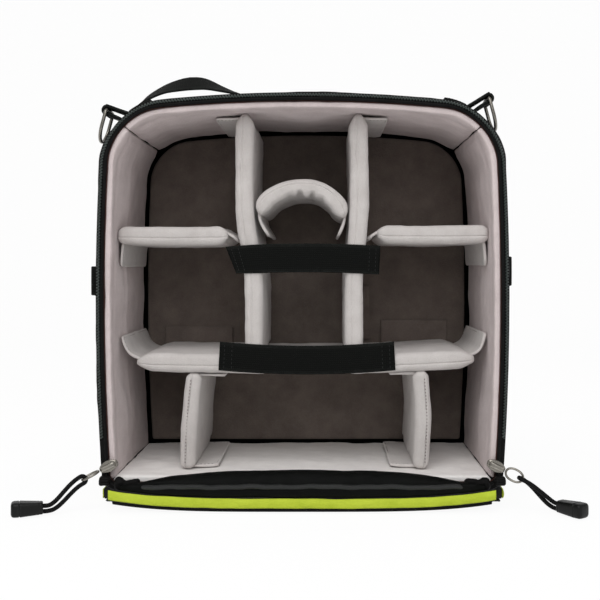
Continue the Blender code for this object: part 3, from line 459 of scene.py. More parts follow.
def makeFoldGroup():
    # Creases: noise pulled long across one way, with its ridges sharpened
    tree, given, out = openGroup("softCreases", [
        ("Vector", "NodeSocketVector", None), ("Scale", "NodeSocketFloat", 40.0)], ["Height"])
    broad = noiseIn(tree, given["Vector"], given["Scale"], 2.0, 0.45)
    ridge = calc(tree, "ABSOLUTE", calc(tree, "SUBTRACT", broad, 0.5))
    fine = noiseIn(tree, given["Vector"], calc(tree, "MULTIPLY", given["Scale"], 3.1), 2.0)
    height = calc(tree, "ADD", calc(tree, "MULTIPLY", ridge, -1.4), calc(tree, "MULTIPLY", fine, 0.35))
    tree.links.new(height, out["Height"])
    return tree


clothGroup = makeClothGroup()
webbingGroup = makeWebbingGroup()
wearGroup = makeWearGroup()
foldGroup = makeFoldGroup()


def inGroup(tree, group, values):
    return put(tree, "ShaderNodeGroup", values, node_tree=group).outputs


def openMaterial(name, roughness, metallic=0.0, **sockets):
    made = bpy.data.materials.new(name)
    made.use_nodes = True
    tree = made.node_tree
    shader = tree.nodes["Principled BSDF"]
    for key, value in {"Roughness": roughness, "Metallic": metallic, **sockets}.items():
        shader.inputs[key.replace("_", " ")].default_value = value
    return made, tree, shader, put(tree, "ShaderNodeTexCoord").outputs


def paint(tree, shader, place, base, worn, share=1.0, size=220.0):
    # Colour: the base, turned to the worn tone where the piece's edge mask is worn
    edge = put(tree, "ShaderNodeAttribute", attribute_name="edge").outputs["Fac"]
    wear = inGroup(tree, wearGroup, {"Vector": place, "Edge": edge, "Size": size})["Mask"]
    colour = blendColours(tree, calc(tree, "MULTIPLY", wear, share), base, linear(*worn))
    tree.links.new(colour, shader.inputs["Base Color"])


def lighter(tone, gain):
    return tuple(min(255, value + gain) for value in tone)


def roughInto(tree, shader, height, gain, start):
    tree.links.new(calc(tree, "MULTIPLY_ADD", height, gain, start), shader.inputs["Roughness"])


def bumpInto(tree, shader, layers):
    # Each layer is a height, its distance in metres and its strength; each starts from the one before
    below = {}
    for height, distance, strength in layers:
        values = {"Height": height, "Distance": distance, "Strength": strength, **below}
        below = {"Normal": put(tree, "ShaderNodeBump", values).outputs[0]}
    tree.links.new(below["Normal"], shader.inputs["Normal"])


fleeceLook = {"thread": 0.0007, "fibre": 0.85, "rough": 0.95, "gloss": 0.15, "sheen": 0.2, "depth": 0.0005,
              "crease": 38.0, "creaseDepth": 0.0010}
nylonLook = {"thread": 0.0006, "fibre": 0.1, "rough": 0.6, "gloss": 0.25, "sheen": 0.0, "depth": 0.0002,
             "crease": 60.0, "creaseDepth": 0.0008}
threadLook = {"thread": 0.0004, "fibre": 0.4, "rough": 0.8, "gloss": 0.2, "sheen": 0.0, "depth": 0.0001,
              "crease": 300.0, "creaseDepth": 0.0001}


def toned(look, light, dark, **changes):
    return {**look, "light": light, "dark": dark, **changes}


clothFinishes = {
    "liningFleece": toned(fleeceLook, (217, 204, 203), (194, 180, 179), creaseDepth=0.0012),
    "padFleece": toned(fleeceLook, (208, 203, 200), (188, 182, 179)),
    # Lit low fleece: a neutral cloth for the low wall, made lighter as painted light where that wall faces up to the
    # lamps
    "litLowFleece": toned(fleeceLook, (244, 240, 237), (228, 223, 220), crease=34.0, creaseDepth=0.0016),
    # Shaded tab fleece: the pads' light fleece darkened as painted shade, for the rear tabs deep in the box
    "shadedTabFleece": toned(fleeceLook, (124, 113, 107), (98, 89, 83), gloss=0.1, sheen=0.1,
                       crease=60.0, creaseDepth=0.0006),
    # Shaded floor fleece: the grey lining cloth darkened as painted shade, for the back panel at the bottom of the
    # box
    "shadedFloorFleece": toned(fleeceLook, (126, 115, 108), (97, 88, 82), gloss=0.1, sheen=0.1, crease=30.0),
    "casingNylon": toned(nylonLook, (33, 33, 34), (14, 14, 15), thread=0.0013, fibre=0.25, rough=0.62, gloss=0.26,
                         depth=0.0006, crease=32.0, creaseDepth=0.0030),
    "bindingTape": toned(nylonLook, (22, 21, 21), (10, 10, 10), fibre=0.3, gloss=0.10,
                         crease=90.0, creaseDepth=0.0004),
    "limeNylon": toned(nylonLook, (205, 222, 66), (178, 197, 44), thread=0.0007, fibre=0.2, rough=0.55, crease=75.0,
                       creaseDepth=0.0009),
    "foldNylon": toned(nylonLook, (13, 14, 13), (5, 6, 5), rough=0.45, gloss=0.06, depth=0.0001, crease=42.0,
                       creaseDepth=0.0014),
    "weltGloss": toned(nylonLook, (22, 25, 23), (12, 14, 13), rough=0.34, gloss=0.42),
    "seamThread": toned(threadLook, (168, 160, 157), (132, 124, 121)),
    "darkThread": toned(threadLook, (110, 92, 92), (82, 68, 68)),
    "blackThread": toned(threadLook, (44, 44, 44), (26, 26, 26), rough=0.6, gloss=0.3),
    "brownThread": toned(threadLook, (86, 54, 48), (58, 36, 32)),
}


def makeCloth(name, look):
    made, tree, shader, coordinates = openMaterial(name, look["rough"], Sheen_Weight=look["sheen"],
                                                   Sheen_Roughness=0.6,
                                                   Specular_IOR_Level=look["gloss"])
    place = coordinates["Object"]
    cloth = inGroup(tree, clothGroup, {"Vector": place, "Thread": look["thread"], "Fibre": look["fibre"]})
    crease = inGroup(tree, foldGroup, {"Vector": place, "Scale": look["crease"]})["Height"]
    tone = calc(tree, "MULTIPLY_ADD", calc(tree, "SUBTRACT", cloth["Tone"], 0.5), 2.2, 0.5)
    base = blendColours(tree, tone, linear(*look["dark"]), linear(*look["light"]))
    paint(tree, shader, place, base, lighter(look["light"], 14), 0.5)
    roughInto(tree, shader, cloth["Tone"], -0.16, look["rough"] + 0.08)
    bumpInto(tree, shader, [(crease, look["creaseDepth"], 0.8), (cloth["Height"], look["depth"], 0.8)])
    return made


def makeWebbing(name, light, dark, pitch, rough, slant=0.6, depth=0.0004):
    made, tree, shader, coordinates = openMaterial(name, rough, Specular_IOR_Level=0.10)
    ribs = inGroup(tree, webbingGroup, {"Vector": coordinates["UV"], "Pitch": pitch, "Slant": slant})
    base = blendColours(tree, calc(tree, "MULTIPLY", ribs["Tone"], 1.8), linear(*dark), linear(*light))
    paint(tree, shader, coordinates["Object"], base, lighter(light, 22), 0.6)
    roughInto(tree, shader, ribs["Height"], -0.15, rough + 0.1)
    bumpInto(tree, shader, [(ribs["Height"], depth, 0.9)])
    return made


def makeNickel(name):
    made, tree, shader, coordinates = openMaterial(name, 0.2, 1.0)
    place = coordinates["Object"]
    broad, fine = noiseIn(tree, place, 140.0, 4.0, 0.6), noiseIn(tree, place, 1400.0, 3.0, 0.7)
    base = blendColours(tree, broad, linear(112, 109, 103), linear(146, 142, 134))
    paint(tree, shader, place, base, (178, 173, 164), size=500.0)
    roughInto(tree, shader, fine, 0.18, 0.18)
    bumpInto(tree, shader, [(broad, 0.0002, 0.25), (fine, 0.00004, 0.4)])
    return made


def makeMoulded(name, light, dark, rough, grain):
    made, tree, shader, coordinates = openMaterial(name, rough, Coat_Weight=0.04, Coat_Roughness=0.35,
                                                   Specular_IOR_Level=0.22)
    place = coordinates["Object"]
    fine, broad = noiseIn(tree, place, grain, 3.0, 0.6), noiseIn(tree, place, 120.0, 3.0)
    base = blendColours(tree, broad, linear(*dark), linear(*light))
    paint(tree, shader, place, base, lighter(light, 26), 0.6, 700.0)
    roughInto(tree, shader, fine, 0.2, rough - 0.1)
    bumpInto(tree, shader, [(fine, 0.00012, 0.6)])
    return made


finish = {name: makeCloth(name, look) for name, look in clothFinishes.items()}
finish["strapWebbing"] = makeWebbing("strapWebbing", (17, 19, 17), (6, 7, 6), 0.0018, 0.68)
finish["cordBraid"] = makeWebbing("cordBraid", (30, 30, 30), (10, 10, 10), 0.0019, 0.6, 1.0, 0.0005)
finish["nickelPlate"] = makeNickel("nickelPlate")
finish["gripRubber"] = makeMoulded("gripRubber", (9, 11, 9), (4, 5, 4), 0.44, 2600.0)
finish["coilNylon"] = makeMoulded("coilNylon", (84, 91, 88), (58, 64, 62), 0.34, 1800.0)
finishSlots = {"strapWebbing": "webbing", "cordBraid": "cord", "nickelPlate": "nickel", "gripRubber": "grip_plastic",
               "coilNylon": "zip_nylon", "limeNylon": "lime_fabric", "shadedFloorFleece": "floor_fabric",
               "blackThread": "webbing",
               **dict.fromkeys(("casingNylon", "bindingTape", "foldNylon", "weltGloss", "brownThread"),
                               "casing_fabric"),
               **dict.fromkeys(("liningFleece", "padFleece", "litLowFleece", "shadedTabFleece", "seamThread", "darkThread"),
                               "lining_fabric")}

def addPiece(name, parts, material, body, nodes=()):
    # Joins the closed shells into one mesh, with its map and its edge mask
    starts = np.cumsum([0] + [len(part["points"]) for part in parts])
    points = np.vstack([part["points"] for part in parts]).astype(np.float32)
    sets = [(face + start, uv) for part, start in zip(parts, starts) for face, uv in zip(part["faces"], part["uvs"])]
    loops = np.concatenate([face.ravel() for face, _ in sets]).astype(np.int32)
    sizes = np.concatenate([np.full(len(face), face.shape[1]) for face, _ in sets])
    mesh = bpy.data.meshes.new(name)
    mesh.vertices.add(len(points))
    mesh.vertices.foreach_set("co", points.ravel())
    mesh.loops.add(len(loops))
    mesh.loops.foreach_set("vertex_index", loops)
    mesh.polygons.add(len(sizes))
    mesh.polygons.foreach_set("loop_start", np.concatenate(([0], np.cumsum(sizes)[:-1])).astype(np.int32))
    mesh.update(calc_edges=True)
    mesh.polygons.foreach_set("use_smooth", np.ones(len(sizes), bool))
    layer = mesh.uv_layers.new(name="lay")
    layer.data.foreach_set("uv", np.concatenate([uv.reshape(-1, 2) for _, uv in sets]).astype(np.float32).ravel())
    mask = mesh.attributes.new("edge", "FLOAT", "POINT")
    mask.data.foreach_set("value", np.concatenate([part["edge"] for part in parts]).astype(np.float32))
    mesh.validate()
    mesh.materials.append(finish[material])
    made = bpy.data.objects.new(name, mesh)
    bpy.context.scene.collection.objects.link(made)
    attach(made, body)
    if nodes:
        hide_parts(*nodes)
    return made


stitchShape = {"length": 0.0021, "gap": 0.0009, "width": 0.00055, "height": 0.0004}


def stitches(line, up, look=None):
    # Stitch: a small spindle of four rings of six, laid at even steps along a line and sunk at its ends
    look = {**stitchShape, **(look or {})}
    line = np.asarray(line, float)
    count = max(2, int(lengthAlong(line)[-1] / (look["length"] + look["gap"])))
    fine = resample(line, 2 * count + 1)
    spots = fine[1::2]
    way = unit(fine[2::2] - fine[:-2:2])
    up = np.broadcast_to(np.asarray(up, float), line.shape)
    lift = unit(resample(np.hstack((line, up)), 2 * count + 1)[1::2, 3:])
    side = unit(np.cross(way, lift))
    share = np.array((-0.5, -0.4, 0.0, 0.4, 0.5))
    girth = np.array((0.15, 0.75, 1.0, 0.75, 0.15))
    ring = circle(0.5, 6)
    base = np.stack([np.column_stack((np.full(6, s * look["length"]), ring[:, 0] * look["width"] * g,
                                      ring[:, 1] * look["height"] * g + look["height"] * (0.4 - 3.2 * s * s)))
                     for s, g in zip(share, girth)]).reshape(-1, 3)
    placed = (spots[:, None] + way[:, None] * base[None, :, :1] + side[:, None] * base[None, :, 1:2]
              + lift[:, None] * base[None, :, 2:])
    offsets = (np.arange(count) * len(base))[:, None, None]
    quads = (gridFaces(5, 6, False, True)[None] + offsets).reshape(-1, 4)
    caps = np.array(((0, 1, 2, 3), (0, 3, 4, 5), (27, 26, 25, 24), (29, 28, 27, 24)))
    caps = (caps[None] + offsets).reshape(-1, 4)
    return shape(placed.reshape(-1, 3), [np.vstack((quads, caps))])


print("stage: cords, rings, sliders and grips")

# Each cord runs from its grip round the pull ring and back, as in the frame, in metres
cordRoutes = {
    "left": [(-0.20972, -0.10662, 0.00745), (-0.20636, -0.10566, 0.00745), (-0.20402, -0.10492, 0.00806),
             (-0.20152, -0.10399, 0.00967), (-0.19887, -0.10287, 0.01219), (-0.19607, -0.1016, 0.01537),
             (-0.19307, -0.10023, 0.0189), (-0.18979, -0.0988, 0.02251), (-0.18609, -0.09735, 0.0259),
             (-0.18183, -0.09592, 0.02876), (-0.18035, -0.09547, 0.02906), (-0.17892, -0.09504, 0.02855),
             (-0.17792, -0.09474, 0.02736), (-0.17763, -0.09465, 0.02581), (-0.17812, -0.0948, 0.02432),
             (-0.17926, -0.09515, 0.02328), (-0.1828, -0.09629, 0.02113), (-0.18618, -0.09753, 0.01831),
             (-0.18943, -0.09885, 0.01507), (-0.19257, -0.10022, 0.0117), (-0.19569, -0.10161, 0.00849),
             (-0.19891, -0.103, 0.00574), (-0.20242, -0.10437, 0.00377), (-0.20636, -0.10566, 0.00305),
             (-0.20972, -0.10662, 0.00305)],
    "right": [(0.21009, -0.10048, 0.00745), (0.20789, -0.09776, 0.00745), (0.20622, -0.09669, 0.008),
              (0.20402, -0.09627, 0.00951), (0.20108, -0.09658, 0.01191), (0.19757, -0.09738, 0.01488),
              (0.19362, -0.09829, 0.01813), (0.18938, -0.09898, 0.02144), (0.18487, -0.09914, 0.02446),
              (0.18005, -0.09844, 0.02677), (0.17881, -0.09765, 0.02735), (0.1781, -0.09629, 0.02769),
              (0.17809, -0.09471, 0.02769), (0.17881, -0.09334, 0.02736), (0.18004, -0.09255, 0.02678),
              (0.18147, -0.09255, 0.0261), (0.18477, -0.09331, 0.02366), (0.18823, -0.0935, 0.02051),
              (0.1917, -0.09334, 0.01684), (0.19509, -0.09316, 0.01298), (0.19841, -0.0932, 0.0093),
              (0.20168, -0.09369, 0.00617), (0.20495, -0.09498, 0.00391), (0.20789, -0.09776, 0.00305),
              (0.21009, -0.10048, 0.00305)],
}
gripShape = {"centre": {"left": (-0.2215, -0.110, 0.00525), "right": (0.2178, -0.110, 0.00525)},
             "heading": {"left": 196, "right": 309}, "length": 0.0250, "width": 0.0140, "thick": 0.0122}
ringShape = {"centre": {"left": (-0.17427, -0.09364, 0.02923), "right": (0.17438, -0.09362, 0.02944)},
             "along": {"left": (-0.85966, -0.2599, -0.43982), "right": (0.8745, -0.25715, -0.41124)},
             "wide": {"left": (-0.28939, 0.95721, 0.0), "right": (0.42555, 0.0, 0.90494)},
             "length": 0.0165, "width": 0.0115, "wire": 0.0019}


def gripMesh(side, look):
    # Grip: squared circles along the heading; it widens from its foot to a rounded cap behind a groove
    heading = math.radians(look["heading"][side])
    along = np.array((math.cos(heading), math.sin(heading), 0.0))
    across = np.array((-along[1], along[0], 0.0))
    share = np.concatenate(((-0.5, -0.498, -0.49, -0.475), np.linspace(-0.455, 0.42, 60),
                            (0.44, 0.46, 0.475, 0.487, 0.495, 0.5)))
    stops = (-0.5, -0.498, -0.485, -0.44, -0.1, 0.20, 0.40, 0.45, 0.48, 0.5)
    wide = np.interp(share, stops, (0.55, 0.66, 0.74, 0.78, 0.90, 0.99, 0.98, 0.92, 0.80, 0.55))
    tall = np.interp(share, stops, (0.60, 0.70, 0.78, 0.82, 0.92, 1.00, 0.99, 0.94, 0.84, 0.62))
    groove = 0.10 * bump(share, 0.235, 0.012) + 0.03 * bump(share, -0.40, 0.02)
    c, s = squaredCircle(40, 0.48)
    grasp = ease((share + 0.36) / 0.05) * ease((0.16 - share) / 0.05)
    hollow = 1 - 0.05 * grasp[:, None] * bump(c, 0, 0.55)[None]
    centre = np.array((*look["centre"][side][:2], look["thick"] / 2))
    girth = (1 - groove)[:, None]
    rings = (centre + along * (share * look["length"])[:, None, None]
             + across * (wide[:, None] * girth * look["width"] / 2 * c)[..., None]
             + np.array((0, 0, 1.0)) * (tall[:, None] * girth * hollow * look["thick"] / 2 * s)[..., None])
    edge = np.repeat(bump(share, 0.27, 0.02) + bump(share, 0.20, 0.02), len(c))
    return ringStack(rings, edge=np.clip(edge, 0, 1))


def ringMesh(side, look):
    # Pull ring: an oval of round wire, flatter along its two long sides
    c, s = squaredCircle(48, 0.9)
    along, wide = unit(look["along"][side]), unit(look["wide"][side])
    half = (look["length"] - look["wire"]) / 2, (look["width"] - look["wire"]) / 2
    line = np.array(look["centre"][side]) + np.outer(half[0] * c, along) + np.outer(half[1] * s, wide)
    return tube(line, look["wire"] / 2, 12, np.cross(along, wide), closed=True)


sliderShape = {"x": 0.160, "y": -0.0897, "z": 0.036, "length": 0.0150, "width": 0.0095, "thick": 0.0068, "turn": 24}


def sliderPlace(sign, look, a, b, y):
    # Slider frame: a runs inwards along its length, b up across it, both turned about Y
    turn = math.radians(look["turn"])
    x = sign * (look["x"] - (a * math.cos(turn) - b * math.sin(turn)))
    return np.stack((x, y, look["z"] + a * math.sin(turn) + b * math.cos(turn)), -1)


def sliderMesh(sign, look):
    # Slider: two waisted plates with rounded edges, a post between them and a bridge for the ring
    c, s = squaredCircle(64, 0.62)
    half, wide = look["length"] / 2, look["width"] / 2
    a, b = half * c, wide * s * (0.9 + 0.1 * np.cos(3.4 * c))
    parts = []
    rear = look["y"] + look["thick"] / 2
    for low, high in ((rear - 0.0017, rear), (rear - 0.0047, rear - 0.0030)):
        soft = 0.0005
        stations = [(0.02, high), (0.55, high), (0.86, high), (0.95, high - soft * 0.15), (1.0, high - soft),
                    (1.0, low + soft), (0.95, low + soft * 0.15), (0.86, low), (0.55, low), (0.02, low)]
        rings = np.array([sliderPlace(sign, look, a * k, b * k, np.full(len(a), y)) for k, y in stations])
        parts.append(ringStack(rings, edge=np.repeat([0, 0, 0, 1, 1, 1, 1, 0, 0, 0], len(a)).astype(float)))
    post = circle(0.0016, 14)
    rings = np.array([sliderPlace(sign, look, half * 0.45 + post[:, 0] * 1.3, post[:, 1], np.full(14, y))
                      for y in (rear - 0.0008, rear - 0.0024, rear - 0.0040)])
    parts.append(ringStack(rings))
    front = rear - 0.0045
    bridge = np.array([(-half * 0.98, 0.0011), (-half * 0.86, -0.0012), (-half * 0.35, -0.0021),
                       (half * 0.25, -0.0021), (half * 0.72, -0.0012), (half * 0.80, 0.0008)])
    line = smoothLine(bridge, 28)
    spots = sliderPlace(sign, look, line[:, 0], np.zeros(len(line)), front + line[:, 1])
    turn = math.radians(look["turn"])
    across = np.tile((sign * math.sin(turn), 0.0, math.cos(turn)), (len(spots), 1))
    parts.append(ribbon(spots, across, 0.0042, 0.0012))
    return parts


cordShape = {"diameter": 0.0036, "length": {"left": 0.0869, "right": 0.0881}}
for side, sign in (("left", -1), ("right", 1)):
    slider, diameter = f"{side}_slider", cordShape["diameter"]
    grip = addPiece(f"{side}GripMoulded", [gripMesh(side, gripShape)], "gripRubber", slider, [f"{side}_pull_grip"])
    route = smoothLine(cordRoutes[side], 90)
    cord = addPiece(f"{side}CordBraided", [tube(route, diameter / 2, 14)], "cordBraid", slider, [f"{side}_pull_cord"])
    addPiece(f"{side}PullRingWire", [ringMesh(side, ringShape)], "nickelPlate", slider, [f"{side}_pull_ring"])
    addPiece(f"{side}SliderPlates", sliderMesh(sign, sliderShape), "nickelPlate", slider, [f"{side}_zip_slider"])

print("stage: casing, rim and zip")

casingShape = {"wall": 0.0063, "rear": 0.008, "panelPuff": 0.0030, "wrinkles": [(0.075, 0.0008), (0.024, 0.0003)]}


def casingMesh(look):
    # Casing: the outline carried back, round the rear edge and in over the panel, with an inner skin
    back, front, wall, rear = bodyShape["back"], bodyShape["casingFront"], look["wall"], look["rear"]
    panel = np.array((0.06, 0.25, 0.42, 0.56, 0.68, 0.78, 0.85, 0.89, 0.905, 0.92, 0.935))
    swell = back + look["panelPuff"] * (1 - (panel / 0.92) ** 4).clip(0) - 0.0011 * bump(panel, 0.905, 0.008)
    stations = [(0.0, y, k) for y, k in zip(swell, panel)]
    for angle in np.radians(np.linspace(90, 0, 8)):
        stations.append((rear - rear * math.cos(angle), back - rear + rear * math.sin(angle), 1.0))
    stations += [(0.0, y, 1.0) for y in np.linspace(back - rear, front + 0.001, 34)[1:]]
    stations += [(0.0003, front + 0.0003, 1.0), (0.001, front, 1.0), (wall - 0.0004, front, 1.0),
                 (wall, front + 0.0004, 1.0)]
    stations += [(wall, y, 1.0) for y in np.linspace(front + 0.01, back - wall - 0.0022, 9)]
    stations += [(wall, back - wall, k) for k in (0.985, 0.8, 0.4, 0.06)]
    rings = loopStack(stations)
    insets = np.array([station[2] for station in stations])
    edge = np.repeat(bump(insets, 0.935, 0.01), rings.shape[1])
    return roughen(ringStack(rings, edge=edge), look["wrinkles"], 11)


def loopTube(inset, y, radius, sides=8):
    return tube(withDepth(outline(inset, 8, 44), y), radius, sides, closed=True)


def loopPath(inset, y):
    rows = outline(inset, 8, 50)
    return withDepth(np.vstack((rows, rows[:1])), y)


def rimMesh(section, seed):
    # Rim: a closed section of insets and depths, carried once round the outline
    rings = loopStack([(inset, y, 1.0) for inset, y in section]).transpose(1, 0, 2)
    return roughen(ringStack(rings, closed=True), [(0.030, 0.00016), (0.011, 0.00008)], seed)


rimSection = [(0.0002, -0.0829), (0.0003, -0.0833), (0.0010, -0.08345), (0.0036, -0.08345), (0.0039, -0.0838),
              (0.0041, -0.0850), (0.0046, -0.0857), (0.0053, -0.0861), (0.0060, -0.0858), (0.0066, -0.0850),
              (0.0068, -0.0840), (0.0067, -0.0831), (0.0052, -0.0829)]
rimThread = {"length": 0.0022, "width": 0.0004, "height": 0.0003}
addPiece("casingWelt", [loopTube(0.0010, 0.0826, 0.0019)], "weltGloss", "body")
addPiece("casingSkin", [casingMesh(casingShape)], "casingNylon", "body", ["casing"])
addPiece("rimBinding", [rimMesh(rimSection, 21)], "bindingTape", "body", ["rim_tape"])
addPiece("rimSeamLine", [loopTube(0.0071, -0.0829, 0.00042, 6)], "brownThread", "body")
addPiece("rimStitches", [stitches(loopPath(0.0054, -0.0861), (0, -1, 0), rimThread)], "bindingTape", "body")
addPiece("panelStitches", [stitches(loopPath(0.0115, 0.0858), (0, 1, 0))], "casingNylon", "body")


def edgeRow(y):
    # A row of stitches round the casing's side at one depth, each standing on the outline
    rows = loopPath(-0.0003, y)
    way = np.gradient(rows, axis=0)
    return stitches(rows, unit(np.column_stack((way[:, 2], way[:, 1] * 0, -way[:, 0]))), {"width": 0.0006})


addPiece("casingEdgeStitches", [edgeRow(y) for y in (-0.0772, -0.0742, 0.0745)], "blackThread", "body")


def coilMesh(path, outwards, pitch=0.0025, wire=0.00052, wide=0.00095, tall=0.00062):
    # Coil: a flattened helix, path + outwards times wide cos + across times tall sin of the turn
    length = lengthAlong(path)[-1]
    turns = int(length / pitch)
    spots = resample(np.hstack((path, outwards)), turns * 8 + 1)
    line, out = spots[:, :3], unit(spots[:, 3:])
    way = unit(np.gradient(line, axis=0))
    across = np.cross(way, out)
    angle = np.linspace(0, 2 * np.pi * turns, len(line))[:, None]
    helix = line + out * wide * np.cos(angle) + across * tall * np.sin(angle)
    radial = unit(out * np.cos(angle) / wide + across * np.sin(angle) / tall)
    ahead = unit(np.gradient(helix, axis=0))
    radial = unit(radial - ahead * np.einsum("ij,ij->i", radial, ahead)[:, None])
    return sweep(helix, radial, np.cross(ahead, radial), circle(wire, 5))


def zipRows(inset, lowest):
    rows = np.vstack((sideLine("right", inset), sideLine("top", inset)[1:], sideLine("left", inset)[1:]))
    return rows[rows[:, 1] > lowest]


zipShape = {"inset": 0.0023, "start": 0.0565, "bodyY": -0.0844, "lidZ": 0.0014}
rows = zipRows(zipShape["inset"], zipShape["start"])
path = withDepth(rows, zipShape["bodyY"])
turned = np.gradient(path, axis=0)
outwards = np.column_stack((turned[:, 2], np.zeros(len(rows)), -turned[:, 0]))
addPiece("bodyCoilTeeth", [coilMesh(path, outwards)], "coilNylon", "body", ["zip_coil_body"])

print("stage: linings")

# Swells are the middle, half width and depth of each soft rise between the dividers, in metres
liningShapes = {
    "left": {"swells": ((0.270, 0.034, 0.0034), (0.178, 0.026, 0.0028), (0.066, 0.038, 0.0030)),
             "fold": 1.0, "darts": (1, 0), "seed": 31},
    "right": {"swells": ((0.274, 0.034, 0.0032), (0.180, 0.026, 0.0028), (0.066, 0.038, 0.0030)),
              "fold": 0.6, "darts": (0, 1), "seed": 37},
    "top": {"swells": ((0.0, 0.038, 0.0040), (-0.110, 0.030, 0.0036), (0.108, 0.030, 0.0034)),
            "fold": 0.3, "darts": (1, 1), "seed": 41},
    "low": {"swells": ((0.0, 0.060, 0.0016), (-0.128, 0.018, 0.0014), (0.130, 0.014, 0.0012)),
            "fold": 0.0, "darts": (0, 0), "seed": 43},
}


def liningMesh(side, look):
    # Lining: a rounded slab bent along the outline; its inner face swells between the dividers
    line = (sideLine(side, 0.0068, 8, 60) + sideLine(side, bodyShape["liningInner"], 8, 60)) / 2
    length = lengthAlong(line)[-1]
    front, back, half = -0.0824, 0.0739 if side == "low" else 0.0722, 0.0025
    points, quads = roundBox((0.0005, front, -half), (length - 0.0005, back, half), 0.0016, (100, 52, 3))
    u, v, w = points.T
    place = np.interp(u, lengthAlong(line), line[:, 1] if side in ("left", "right") else line[:, 0])
    deep = (v - front) / (back - front)
    inwards = ease(w / half)
    held = np.interp(deep, (0.02, 0.30, 0.37, 1.0), (0.0, 1.0, 0.80, 0.30))
    swell = sum(depth * bump(place, middle, width * 0.75) for middle, width, depth in look["swells"]) * held
    share = u / length
    fold = (look["fold"] * 0.0016 * bump(deep, 0.34 + 0.10 * share, 0.045)
            * ease(share / 0.15) * ease((1 - share) / 0.2))
    dent = -look["fold"] * 0.0012 * bump(deep, 0.43 + 0.10 * share, 0.03) * ease(share / 0.15)
    lip = 0.0006 * bump(deep, 0.035, 0.02) - 0.0007 * bump(deep, 0.085, 0.012)
    darts = sum(on * ease(away / 0.008) * bump(away, 0.014, 0.020)
                for on, away in zip(look["darts"], (u, length - u)))
    dart = 0.0042 * darts * np.interp(deep, (0.0, 0.12, 0.6, 1.0), (0.0, 1.0, 0.9, 0.5))
    points[:, 2] = w + inwards * (swell + fold + dent + lip + dart)
    wrinkles = [(0.050, 0.00045), (0.017, 0.00022)]
    return bendOnto(line, points, quads, wrinkles, look["seed"], edge=bump(deep, 0.0, 0.02))


# The low wall's lighter fleece: its neutral hue is the cloth's own, its extra lightness is painted light
for side, look in liningShapes.items():
    cloth = "litLowFleece" if side == "low" else "liningFleece"
    addPiece(f"{side}LiningPad", [liningMesh(side, look)], cloth, "body", [f"{side}_lining"])


def backMesh(inset, share):
    # Back lining: the outline shrunk ring by ring, its face dented between the dividers
    shrink = (0.05, 0.2, 0.35, 0.5, 0.62, 0.72, 0.80, 0.86, 0.91, 0.95, 0.98)
    stations = [(inset, 0.0745, k) for k in shrink]
    for angle in np.radians((70, 45, 20)):
        stations.append((inset + 0.002 * (1 - math.cos(angle)), 0.0745 + 0.002 * (1 - math.sin(angle)), 1.0))
    stations += [(inset, 0.0768, 1.0), (inset + 0.0004, 0.0773, 0.995), (inset + 0.0004, 0.0774, 0.6),
                 (inset + 0.0004, 0.0774, 0.05)]
    made = ringStack(loopStack([(edge, y, k * share) for edge, y, k in stations]))
    face = made["points"][:, 1] < 0.0760
    depth = 0.0006 + 0.0006 * smoothNoise(made["points"], 0.09, 51) + 0.0002 * smoothNoise(made["points"], 0.03, 52)
    made["points"][:, 1] += np.where(face, np.clip(depth, 0, None), 0)
    return made


def backGapShadeMesh():
    # Black sheet behind the back lining: a flat sheet that shows as a dark line round it, painted shade for the gap
    # between the walls and the back lining
    rings = [(0.0072, 0.0776, k) for k in (0.04, 0.4, 0.8)] + [(0.0070, 0.0776, 1.0), (0.0070, 0.0790, 1.0)]
    return ringStack(loopStack(rings + [(0.0072, 0.0791, k) for k in (0.8, 0.4, 0.04)]))


# The back lining's dark brown-grey is painted shade over the light lining cloth
addPiece("backLiningPad", [backMesh(0.0112, 0.974)], "shadedFloorFleece", "body", ["back_lining"])
addPiece("backGapShadeCloth", [backGapShadeMesh()], "foldNylon", "body")

print("stage: dividers")

padShape = {"thick": 0.0158, "shelfThick": 0.0165, "smallThick": 0.0140, "edge": 0.0046, "flap": 0.0024,
            "setback": 0.007, "seamDepth": 0.0007, "wrinkles": [(0.055, 0.00040), (0.018, 0.00022), (0.008, 0.00006)]}
leftShares = ((-0.313, 0.95), (-0.315, 0.73), (-0.288, 0.62), (-0.266, 0.53), (-0.263, 0.36))
rightShares = ((0.294, 0.95), (0.302, 0.77), (0.288, 0.63), (0.272, 0.53), (0.271, 0.36))
shelfShares = ((-0.896, 0.300), (-0.45, 0.296), (0.0, 0.293), (0.45, 0.297), (0.915, 0.309))
archShares = ((-0.234, 0.712), (-0.197, 0.751), (-0.107, 0.779), (-0.009, 0.788), (0.088, 0.780), (0.173, 0.748),
              (0.220, 0.705))
lowerShares = {"left": ((-0.584, 0.25), (-0.608, 0.14), (-0.620, 0.03)),
               "right": ((0.626, 0.25), (0.641, 0.14), (0.628, 0.03))}
padSeat = 0.00855  # from the long shelf's line to the ends of the pads that meet it
tabFront = bodyShape["padFront"] + padShape["setback"]
tabBack = bodyShape["padBack"] - padShape["setback"]
shelfLine = [inside(*pair) for pair in shelfShares]


def shelfAt(x):
    rows = np.array(shelfLine)
    return np.interp(x, rows[:, 0], rows[:, 1])


def uprightLine(shares):
    rows = [inside(*pair) for pair in shares]
    first = (rows[0][0], surfaceZ(rows[0][0], bodyShape["liningInner"]) - 0.0006)
    return [first, *rows[1:-1], (rows[-1][0], shelfAt(rows[-1][0]) + padSeat)]


